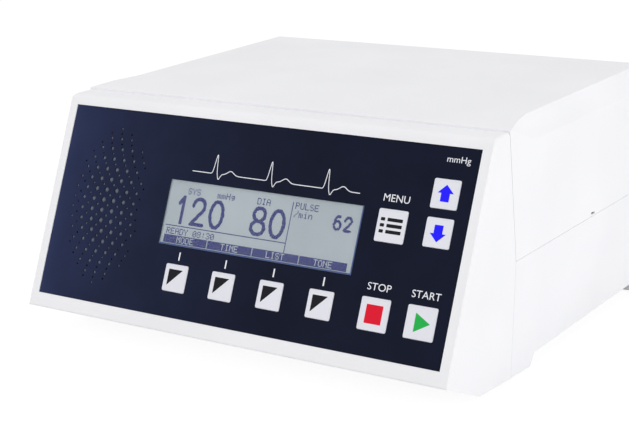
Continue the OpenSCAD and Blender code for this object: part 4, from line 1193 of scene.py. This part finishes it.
@dataclass
class Keypad:
    """The nine keys: pillow-edged caps with a flange and a stem, and the signs printed on them."""

    panel: Panel
    small: float = 16.0
    large: float = 18.0
    soft_x: float = 99.2
    soft_pitch: float = 33.1
    row_y: float = 94.2
    column_x: float = 233.0
    arrow_x: float = 261.5
    menu_y: float = 46.2
    arrow_pitch: float = 20.8
    proud: float = 0.35
    corner: float = 1.0
    corner_fall: float = 0.6
    corner_least: float = 0.3
    edge: float = 0.45
    field_inset: float = 1.0
    field_slope: float = 0.25
    field_drop: float = 0.06
    flange: float = 1.1
    flange_under: float = -2.6
    flange_thick: float = 0.8
    stem_under: float = -3.9
    stem_d: float = 4.0
    ink_under: float = 0.01
    ink_over: float = 0.03

    def keys(self) -> list[Key]:
        """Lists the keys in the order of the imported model's nodes.

        Returns:
            The soft keys from the left, then the menu, arrow, stop and start keys.
        """
        soft = [Key(f"key_soft_{i + 1}", self.soft_x + i * self.soft_pitch, self.row_y, self.small, Sign.SOFT)
                for i in range(4)]
        return soft + [
            Key("key_menu", self.column_x, self.menu_y, self.large, Sign.LIST),
            Key("key_up", self.arrow_x, self.menu_y - self.arrow_pitch, self.small, Sign.UP),
            Key("key_down", self.arrow_x, self.menu_y, self.small, Sign.DOWN),
            Key("key_stop", self.column_x, self.row_y, self.large, Sign.STOP),
            Key("key_start", self.arrow_x, self.row_y, self.large, Sign.START),
        ]

    def cap(self, key: Key) -> tuple[Array, list[list[int]]]:
        """Lofts a key through rings: stem, flange, skirt, a quarter-round edge and a shallow field.

        Args:
            key: The key.

        Returns:
            Points and faces.
        """
        turn = np.linspace(0.0, math.pi / 2, 6)
        top, base = self.flange_under, self.flange_under - self.flange_thick
        profile = [(None, self.stem_under), (None, base), (-self.flange, base), (-self.flange, top), (0.0, top)]
        profile += [(self.edge * (1 - math.cos(a)), self.proud - self.edge * (1 - math.sin(a))) for a in turn]
        profile += [(self.field_inset, self.proud),
                    (self.field_inset + self.field_slope, self.proud - self.field_drop)]
        half = key.side / 2
        rings = []
        for inset, height in profile:
            if inset is None:
                ring = Outline.disc(key.x, key.y, self.stem_d, 24).points
            else:
                size = half - inset
                radius = max(self.corner - max(inset, 0.0) * self.corner_fall, self.corner_least)
                ring = Outline.box(key.x - size, key.x + size, key.y - size, key.y + size, radius).points
            rings.append(self.panel.place(ring, height))
        return loft(rings)

    def signs(self, key: Key) -> list[tuple[list[Outline], Ink]]:
        """Draws a key's sign.

        Args:
            key: The key.

        Returns:
            Outlines with the ink of each.
        """
        x, y = key.x, key.y
        black = Ink("ink_black", Shade.BLACK.value)
        if key.sign is Sign.SOFT:
            corner = Outline.of((x - 5.2, y - 5.0), (x + 4.6, y - 5.0), (x - 5.2, y + 4.6))
            return [([corner.softened(0.35)], black)]
        if key.sign is Sign.LIST:
            rows = [y - 3.3, y, y + 3.3]
            dots = [Outline.box(x - 6.9, x - 4.3, r - 0.9, r + 0.9, 0.3) for r in rows]
            bars = [Outline.box(x - 2.8, x + 6.6, r - 0.95, r + 0.95, 0.3) for r in rows]
            return [(dots + bars, black)]
        if key.sign in (Sign.UP, Sign.DOWN):
            way = 1.0 if key.sign is Sign.UP else -1.0
            head, neck, foot = y - 5.0 * way, y - 0.4 * way, y + 4.2 * way
            arrow = Outline.of((x, head), (x + 4.8, neck), (x + 2.6, neck), (x + 2.6, foot),
                               (x - 2.6, foot), (x - 2.6, neck), (x - 4.8, neck))
            # The blue arrows get a painted glow as emission on their ink.
            return [([arrow.softened(0.25)], Ink("ink_blue_painted_glow", Shade.BLUE.value, glow=0.15))]
        if key.sign is Sign.STOP:
            square = Outline.box(x - 5.15, x + 5.15, y - 5.15, y + 5.15, 0.4)
            # The red square gets a painted glow as emission on its ink.
            return [([square], Ink("ink_red_painted_glow", Shade.RED.value, glow=0.1))]
        nose = Outline.of((x - 3.5, y - 5.1), (x + 5.8, y + 0.0), (x - 3.4, y + 5.3))
        # The green triangle gets a painted glow as emission on its ink.
        return [([nose.softened(0.35)], Ink("ink_green_painted_glow", Shade.GREEN.value, glow=0.1))]

    def build(self) -> None:
        """Builds and dresses every key."""
        face = Moulded("key_satin", Shade.KEY.value, roughness=0.34, fineness=5200.0, depth_mm=0.008).build()
        inks: dict[str, bpy.types.Material] = {}
        for key in self.keys():
            points, faces = self.cap(key)
            piece = add_piece(f"{key.node}.cap", points, faces, face, key.node)
            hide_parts(key.node)
            top = self.proud - self.field_drop
            for outlines, ink in self.signs(key):
                if ink.name not in inks:
                    inks[ink.name] = ink.build()
                points, faces = self.panel.prisms(outlines, top - self.ink_under, top + self.ink_over)
                add_piece(f"{key.node}.sign", points, faces, inks[ink.name], key.node)
            log.info("%s with its sign: %s", key.node, key.sign.value)


@dataclass
class Print:
    """White print on the foil: labels, ticks over the soft keys and a pulse line."""

    panel: Panel
    keypad: Keypad
    lift: float = 0.02
    beat_gap: float = 38.0
    first_beat: float = 112.0
    line_y: float = 31.0
    line_width: float = 0.45
    line_ends: tuple[float, float] = (96.0, 210.0)
    line_points: int = 700
    bells: tuple[tuple[float, float, float], ...] = ((11.0, 0.0, 1.1), (-3.0, 3.2, 1.2), (2.4, 11.0, 3.0))
    tick: tuple[float, float, float] = (0.45, 79.0, 83.8)

    def labels(self) -> list[tuple[str, str, float, float, float, float]]:
        """Lists piece name, words, left, right, top and base of each label."""
        return [
            ("label_menu", "MENU", 225.2, 241.2, 29.2, 33.2),
            ("label_stop", "STOP", 225.9, 240.6, 77.4, 81.4),
            ("label_start", "START", 253.2, 270.6, 77.4, 81.4),
            ("label_unit", "mmHg", 258.5, 272.5, 4.9, 9.4),
        ]

    def trace(self) -> Array:
        """The pulse line at even steps: for each beat a sharp bell up, one down after it and a soft one.

        Returns:
            Points in panel millimetres.
        """
        x = np.linspace(*self.line_ends, self.line_points)
        y = np.zeros_like(x)
        for beat in self.first_beat + self.beat_gap * np.arange(3):
            for height, later, wide in self.bells:
                y += height * np.exp(-((x - beat - later) / wide) ** 2)
        return np.stack([x, self.line_y - y], axis=-1)

    def ribbon(self, line: Array, width: float) -> tuple[Array, list[list[int]]]:
        """Widens a line into a flat ribbon: each point moved both ways along its normal.

        Args:
            line: Points in panel millimetres.
            width: Its width.

        Returns:
            Points and faces.
        """
        along = np.gradient(line, axis=0)
        along /= np.linalg.norm(along, axis=1, keepdims=True)
        aside = np.stack([along[:, 1], -along[:, 0]], axis=-1) * width / 2
        points = self.panel.place(np.concatenate([line - aside, line + aside]), self.lift)
        count = len(line)
        step = np.arange(count - 1)
        faces = np.stack([step, step + 1, step + 1 + count, step + count], axis=-1)
        return points, faces.tolist()

    def build(self) -> None:
        """Prints everything onto the foil."""
        white = Ink("ink_white", Shade.PRINT.value, 0.55).build()
        for name, words, x0, x1, top, base in self.labels():
            shapes = Lettering(words).fitted(x0, x1, top, base)
            letter_piece(name, shapes, self.panel, self.lift, white, HOUSING)
        half, top, base = self.tick
        ticks = [Outline.box(key.x - half, key.x + half, top, base)
                 for key in self.keypad.keys() if key.sign is Sign.SOFT]
        points, faces = self.panel.prisms(ticks, 0.0, self.lift)
        add_piece("soft_key_ticks", points, faces, white, HOUSING)
        points, faces = self.ribbon(self.trace(), self.line_width)
        add_piece("pulse_line", points, faces, white, HOUSING)
        log.info("print on the foil")


@dataclass
class Grille:
    """The cloth behind the speaker holes, which bulges a little into the larger ones."""

    panel: Panel
    middle: tuple[float, float] = (38.5, 58.5)
    reach: tuple[float, float] = (27.0, 47.0)
    pitch: tuple[float, float] = (7.6, 6.25)
    first: float = -26.5
    bend: float = 0.012
    widest: tuple[float, float] = (3.2, 1.792)
    narrowest: float = 1.2
    least_more: float = 0.05
    shrink: float = 0.55
    foot: float = -0.6
    crown: float = -0.12
    slack: float = 0.04
    sides: int = 14
    rings: int = 4

    def holes(self) -> Array:
        """Lists the holes: columns bent by a parabola, every other one moved half a pitch.

        A hole at the share d of the way from the middle to the ellipse's edge is 1 - shrink * d * d as wide.

        Returns:
            Rows of x, y and diameter in panel millimetres.
        """
        found = []
        for half, widest in enumerate(self.widest):
            column, row = (grid.ravel() for grid in np.meshgrid(np.arange(-1, 8), np.arange(-8, 9), indexing="ij"))
            y = self.pitch[1] * (row + 0.5 * (1 - half))
            x = self.first + self.pitch[0] * (column + 0.5 * half) + self.bend * y * y
            out = np.hypot(x / self.reach[0], y / self.reach[1])
            wide = np.maximum(self.narrowest, (1.0 - self.shrink * out * out) * widest)
            found.append(np.stack([self.middle[0] + x, self.middle[1] - y, wide], axis=-1)[out < 1.0])
        return np.concatenate(found)

    def build(self) -> None:
        """Builds a low dome of cloth in each hole but the narrowest: rings that rise by 1 - share squared."""
        holes = self.holes()
        holes = holes[holes[:, 2] > self.narrowest + self.least_more]
        angle = np.linspace(0.0, 2 * math.pi, self.sides, endpoint=False)
        share = 1.0 - np.arange(self.rings) / self.rings
        radius = (holes[:, 2, None] / 2 - self.slack) * share
        round_off = np.stack([np.cos(angle), -np.sin(angle)], axis=-1)
        flat = holes[:, None, None, :2] + radius[:, :, None, None] * round_off
        lift = self.foot + (self.crown - self.foot) * (1.0 - share * share)
        rings = self.panel.place(flat, lift[None, :, None]).reshape(len(holes), -1, 3)
        tips = self.panel.place(holes[:, None, :2], self.crown)
        points = np.concatenate([rings, tips], axis=1)
        start = np.arange(len(holes))[:, None, None] * points.shape[1]
        step = np.arange(self.sides)
        after = (step + 1) % self.sides
        ring = np.arange(self.rings - 1)[:, None] * self.sides
        walls = np.stack([ring + step, ring + after, ring + self.sides + after, ring + self.sides + step], axis=-1)
        last = (self.rings - 1) * self.sides
        caps = np.stack([last + step, last + after, np.full(self.sides, last + self.sides)], axis=-1)
        faces = (start + walls.reshape(-1, 4)).reshape(-1, 4).tolist() + (start + caps).reshape(-1, 3).tolist()
        cloth = Cloth("grille_cloth", Shade.CLOTH.value).build()
        add_piece("grille_cloth", points.reshape(-1, 3), faces, cloth, HOUSING, smooth=True)
        log.info("cloth in %d grille holes", len(holes))


# Rows of a 5 by 7 dot letter from the top, each a number whose bits are its dots from left to right.
GLYPHS: dict[str, tuple[int, ...]] = {
    "A": (14, 17, 17, 31, 17, 17, 17), "D": (30, 17, 17, 17, 17, 17, 30), "E": (31, 16, 16, 30, 16, 16, 31),
    "H": (17, 17, 17, 31, 17, 17, 17), "I": (14, 4, 4, 4, 4, 4, 14), "L": (16, 16, 16, 16, 16, 16, 31),
    "M": (17, 27, 21, 21, 17, 17, 17), "N": (17, 25, 21, 19, 17, 17, 17), "O": (14, 17, 17, 17, 17, 17, 14),
    "P": (30, 17, 17, 30, 16, 16, 16), "R": (30, 17, 17, 30, 20, 18, 17), "S": (14, 17, 16, 14, 1, 17, 14),
    "T": (31, 4, 4, 4, 4, 4, 4), "U": (17, 17, 17, 17, 17, 17, 14), "Y": (17, 17, 10, 4, 4, 4, 4),
    "m": (0, 0, 26, 21, 21, 21, 21), "g": (0, 0, 15, 17, 15, 1, 14), "i": (4, 0, 12, 4, 4, 4, 14),
    "n": (0, 0, 22, 25, 17, 17, 17), "0": (14, 17, 19, 21, 25, 17, 14), "3": (14, 17, 1, 6, 1, 17, 14),
    "8": (14, 17, 17, 14, 17, 17, 14), "/": (1, 1, 2, 4, 8, 16, 16), ":": (0, 4, 4, 0, 4, 4, 0), " ": (0,) * 7,
}


@dataclass(frozen=True)
class Figure:
    """A large figure drawn with one round pen along lines and arcs in a unit box, y down."""

    digit: str
    x0: float
    x1: float
    top: float
    base: float
    pen: float

    @staticmethod
    def arc(x: float, y: float, wide: float, tall: float, start: float, end: float) -> Array:
        """Points of an elliptic arc: the middle plus cosine times half width and sine times half height.

        Args:
            x, y: The middle.
            wide, tall: Half its width and half its height.
            start, end: Angles in degrees, clockwise from the right.

        Returns:
            The points.
        """
        angle = np.radians(np.linspace(start, end, 60))
        return np.stack([x + wide * np.cos(angle), y + tall * np.sin(angle)], axis=-1)

    @staticmethod
    def line(*corners: tuple[float, float]) -> Array:
        """Points along straight lines through corners.

        Args:
            *corners: The corners in order.

        Returns:
            The points.
        """
        ends = np.array(corners)
        share = np.linspace(0.0, 1.0, 40)[:, None]
        return np.concatenate([a + (b - a) * share for a, b in zip(ends[:-1], ends[1:])])

    def path(self) -> Array:
        """Draws the pen's path in the unit box.

        Returns:
            The points.
        """
        if self.digit == "0":
            return self.arc(0.5, 0.5, 0.5, 0.5, 0.0, 360.0)
        if self.digit == "1":
            return self.line((0.0, 0.24), (0.85, 0.0), (0.85, 1.0))
        if self.digit == "2":
            return np.concatenate([self.arc(0.5, 0.28, 0.49, 0.28, 180.0, 390.0),
                                   self.line((0.92, 0.42), (0.0, 1.0), (1.0, 1.0))])
        if self.digit == "6":
            return np.concatenate([self.arc(0.5, 0.68, 0.5, 0.32, 0.0, 360.0),
                                   self.arc(0.62, 0.62, 0.62, 0.62, 180.0, 285.0)])
        return np.concatenate([self.arc(0.5, 0.25, 0.42, 0.25, 0.0, 360.0),
                               self.arc(0.5, 0.75, 0.5, 0.25, 0.0, 360.0)])

    def covers(self, spots: Array) -> Array:
        """Tests which spots the pen touches: nearer than half its width to the path.

        Args:
            spots: Points in panel millimetres, rows by columns by two.

        Returns:
            A mask of rows by columns.
        """
        half = self.pen / 2
        low = np.array([self.x0 + half, self.top + half])
        size = np.array([self.x1 - self.x0, self.base - self.top]) - self.pen
        path = low + self.path() * size
        apart = np.linalg.norm(spots[:, :, None, :] - path[None, None], axis=-1)
        return apart.min(axis=2) < half


@dataclass
class DotDisplay:
    """The liquid crystal display: a ground, and square dots that form plain figures, words and rules."""

    panel: Panel
    left: float = 83.9
    top: float = 40.6
    columns: int = 240
    rows: int = 64
    pitch: float = 0.527
    fill: float = 0.985
    depth: float = -0.86
    bar_row: int = 55
    rule_row: int = 44
    rule_column: int = 160
    names: tuple[str, ...] = ("MODE", "TIME", "LIST", "TONE")
    name_width: int = 60
    name_start: int = 19
    words: tuple[tuple[str, int, int], ...] = (
        ("SYS", 22, 1), ("mmHg", 62, 1), ("DIA", 115, 1), ("PULSE", 164, 0), ("/min", 164, 9), ("READY 08:30", 3, 47))
    window: tuple[float, float, float, float] = (82.2, 214.3, 37.5, 75.5)
    edge: float = 0.75
    edge_lift: tuple[float, float] = (-0.48, -0.04)

    def centres(self) -> Array:
        """Finds the middles of all dots.

        Returns:
            Points in panel millimetres, rows by columns by two.
        """
        x = self.left + (np.arange(self.columns) + 0.5) * self.pitch
        y = self.top + (np.arange(self.rows) + 0.5) * self.pitch
        return np.stack(np.meshgrid(x, y), axis=-1)

    def write(self, page: Array, text: str, column: int, row: int) -> None:
        """Turns over the dots of a word on the page, so that it shows on a clear or a filled place.

        Args:
            page: The mask that is changed.
            text: The word.
            column, row: Its upper left dot.
        """
        for index, letter in enumerate(text):
            bits = np.array(GLYPHS[letter])[:, None] >> np.arange(4, -1, -1) & 1
            start = column + 6 * index
            page[row: row + 7, start: start + 5] ^= bits.astype(bool)

    def figures(self) -> list[Figure]:
        """Lists the large figures."""
        tall, small = (45.6, 62.9, 2.25), (44.2, 53.0, 1.5)
        return [Figure("1", 90.2, 95.6, *tall), Figure("2", 100.2, 110.6, *tall), Figure("0", 112.9, 123.8, *tall),
                Figure("8", 142.2, 153.3, *tall), Figure("0", 155.0, 166.0, *tall),
                Figure("6", 196.4, 201.9, *small), Figure("2", 203.2, 208.6, *small)]

    def dots(self) -> Array:
        """Draws the page: figures, words, rules, and a filled bar with the soft keys' names left out of it.

        Returns:
            A mask of rows by columns.
        """
        spots = self.centres()
        page = np.zeros((self.rows, self.columns), bool)
        for figure in self.figures():
            page |= figure.covers(spots)
        page[: self.bar_row, self.rule_column] = True
        page[self.rule_row, : self.rule_column] = True
        for text, column, row in self.words:
            self.write(page, text, column, row)
        page[self.bar_row:, 1:] = True
        page[self.bar_row:, self.name_width * np.arange(1, len(self.names))] = False
        for index, word in enumerate(self.names):
            self.write(page, word, self.name_start + self.name_width * index, self.bar_row + 1)
        return page

    def rim(self) -> list[Outline]:
        """Outlines the window's lit edge on the right and along the bottom."""
        x0, x1, y0, y1 = self.window
        return [Outline.box(x1 - self.edge, x1, y0, y1), Outline.box(x0, x1 - self.edge, y1 - self.edge, y1)]

    def build(self) -> None:
        """Builds the ground, the pane with its edge, and the dots."""
        paint("display_glass", CrystalGround("crystal_ground", Shade.CRYSTAL.value).build())
        paint("display_window", ClearPane("clear_window", linear(120, 132, 150)).build())
        # Painted light: a band of flat colour on the right and along the bottom of the window stands in for the light
        # on the pane's edge.
        points, faces = self.panel.prisms(self.rim(), *self.edge_lift)
        edge = Ink("pane_edge", Shade.PANE_EDGE.value, 0.3)
        add_piece("window_edge", points, faces, edge.build(), HOUSING)
        middles = self.centres()[self.dots()]
        half = self.pitch * self.fill / 2
        corner = np.array([[-half, half], [half, half], [half, -half], [-half, -half]])
        points = self.panel.place((middles[:, None] + corner).reshape(-1, 2), self.depth)
        faces = np.arange(len(points)).reshape(-1, 4).tolist()
        dark = Ink("crystal_dark", Shade.DOT.value, 0.4).build()
        add_piece("display_dots", points, faces, dark, HOUSING)
        log.info("display with %d dots", len(middles))


# ---------------------------------------------------------------- studio


@dataclass(frozen=True)
class View:
    """The photograph's camera: place in millimetres, angles in degrees, focal length and middle in pixels."""

    place: tuple[float, float, float] = (510.3, -794.2, 328.7)
    yaw: float = -34.239
    pitch: float = 17.643
    roll: float = 2.089
    focal: float = 1579.95
    middle: tuple[float, float] = (306.26, 267.03)
    frame: tuple[int, int] = (629, 432)

    def build(self) -> None:
        """Makes the camera: columns right, up and back from the three angles."""
        yaw, pitch, roll = (math.radians(a) for a in (self.yaw, self.pitch, self.roll))
        forward = np.array([math.sin(yaw) * math.cos(pitch), math.cos(yaw) * math.cos(pitch), -math.sin(pitch)])
        level = np.array([math.cos(yaw), -math.sin(yaw), 0.0])
        down = np.cross(forward, level)
        right = math.cos(roll) * level + math.sin(roll) * down
        down = -math.sin(roll) * level + math.cos(roll) * down
        turn = Matrix(np.stack([right, -down, -forward], axis=1).tolist()).to_4x4()
        data = bpy.data.cameras.new("camera")
        camera = bpy.data.objects.new("camera", data)
        camera.matrix_world = Matrix.Translation([c * MM for c in self.place]) @ turn
        data.sensor_width = 36.0
        data.lens = self.focal / self.frame[0] * data.sensor_width
        data.shift_x = (self.frame[0] / 2 - self.middle[0]) / self.frame[0]
        data.shift_y = (self.middle[1] - self.frame[1] / 2) / self.frame[0]
        data.clip_start = 0.01
        bpy.context.scene.collection.objects.link(camera)
        bpy.context.scene.camera = camera


@dataclass(frozen=True)
class Lamp:
    """A soft square lamp that looks at a point."""

    name: str
    place: tuple[float, float, float]
    target: tuple[float, float, float]
    size: float
    watts: float

    def build(self) -> None:
        """Makes the lamp and turns it to its target."""
        data = bpy.data.lights.new(self.name, "AREA")
        data.size = self.size
        data.energy = self.watts
        lamp = bpy.data.objects.new(self.name, data)
        gaze = np.array(self.target) - np.array(self.place)
        back = -gaze / np.linalg.norm(gaze)
        side = np.cross([0.0, 0.0, 1.0], back)
        side /= np.linalg.norm(side)
        turn = Matrix(np.stack([side, np.cross(back, side), back], axis=1).tolist()).to_4x4()
        lamp.matrix_world = Matrix.Translation(self.place) @ turn
        bpy.context.scene.collection.objects.link(lamp)


@dataclass
class Studio:
    """White floor and air with soft lamps."""

    air: float = 0.6
    floor_share: float = 0.86
    floor_glow: float = 1.08
    floor_reach: float = 6.0
    floor_gap_mm: float = 0.3
    lamps: tuple[Lamp, ...] = (
        Lamp("lamp_right", (1.7, -0.2, 0.55), (0.0, 0.0, 0.08), 1.3, 11.5),
        Lamp("lamp_top", (-0.2, 0.2, 1.9), (0.0, 0.0, 0.1), 1.6, 7.3),
        Lamp("lamp_front", (-0.9, -1.6, 0.8), (0.0, -0.1, 0.08), 1.2, 7.8),
    )

    def world(self) -> None:
        """Sets the air: its own strength for light, white for what is seen directly or in gloss."""
        world = bpy.data.worlds.new("air")
        world.use_nodes = True
        graph = Graph(world.node_tree)
        light = graph.node("ShaderNodeBackground")
        light.inputs["Color"].default_value = (1.0, 1.0, 1.0, 1.0)
        graph.link(graph.spread(graph.seen(), 0.0, 1.0, self.air, 1.0), light.inputs["Strength"])
        graph.link(light.outputs[0], graph.node("ShaderNodeOutputWorld").inputs["Surface"])
        bpy.context.scene.world = world

    def floor(self) -> None:
        """Lays a floor just under the feet that takes the shadow and shows mostly white to the camera."""
        far, under = self.floor_reach, -self.floor_gap_mm * MM
        mesh = bpy.data.meshes.new("floor")
        corners = [(-far, -far, under), (far, -far, under), (far, far, under), (-far, far, under)]
        mesh.from_pydata(corners, [], [(0, 1, 2, 3)])
        floor = bpy.data.objects.new("floor", mesh)
        bpy.context.scene.collection.objects.link(floor)
        material = bpy.data.materials.new("floor_white")
        material.use_nodes = True
        graph = Graph(material.node_tree)
        matt = graph.node("ShaderNodeBsdfDiffuse")
        matt.inputs["Color"].default_value = (0.9, 0.9, 0.9, 1.0)
        bright = graph.node("ShaderNodeEmission")
        bright.inputs["Color"].default_value = (1.0, 1.0, 1.0, 1.0)
        bright.inputs["Strength"].default_value = self.floor_glow
        blend = graph.node("ShaderNodeMixShader")
        graph.link(graph.math("MULTIPLY", graph.seen(), self.floor_share), blend.inputs[0])
        graph.link(matt.outputs[0], blend.inputs[1])
        graph.link(bright.outputs[0], blend.inputs[2])
        graph.link(blend.outputs[0], graph.node("ShaderNodeOutputMaterial").inputs["Surface"])
        mesh.materials.append(material)

    def build(self) -> None:
        """Sets up the air, the floor, the lamps and the view transform."""
        self.world()
        self.floor()
        for lamp in self.lamps:
            lamp.build()
        bpy.context.scene.view_settings.view_transform = "Standard"


def main() -> None:
    """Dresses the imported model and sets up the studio."""
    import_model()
    panel = Panel.from_foil(FOIL_MM * MM)
    log.info("panel %.2f by %.2f mm, lean %.2f degrees", panel.width, panel.height, math.degrees(panel.tilt))
    View().build()
    Housing().build()
    Inside().dress()
    middle, half = panel.centre[0], panel.width / 2 * MM
    span = (middle - half, middle + half * DARK_FROM)
    foil = Foil("foil_navy", Shade.FOIL_LEFT.value, Shade.FOIL_RIGHT.value, span)
    paint("front_foil", foil.build())
    keypad = Keypad(panel)
    keypad.build()
    Print(panel, keypad).build()
    Grille(panel).build()
    DotDisplay(panel).build()
    Studio().build()


if __name__ == "__main__":
    main()
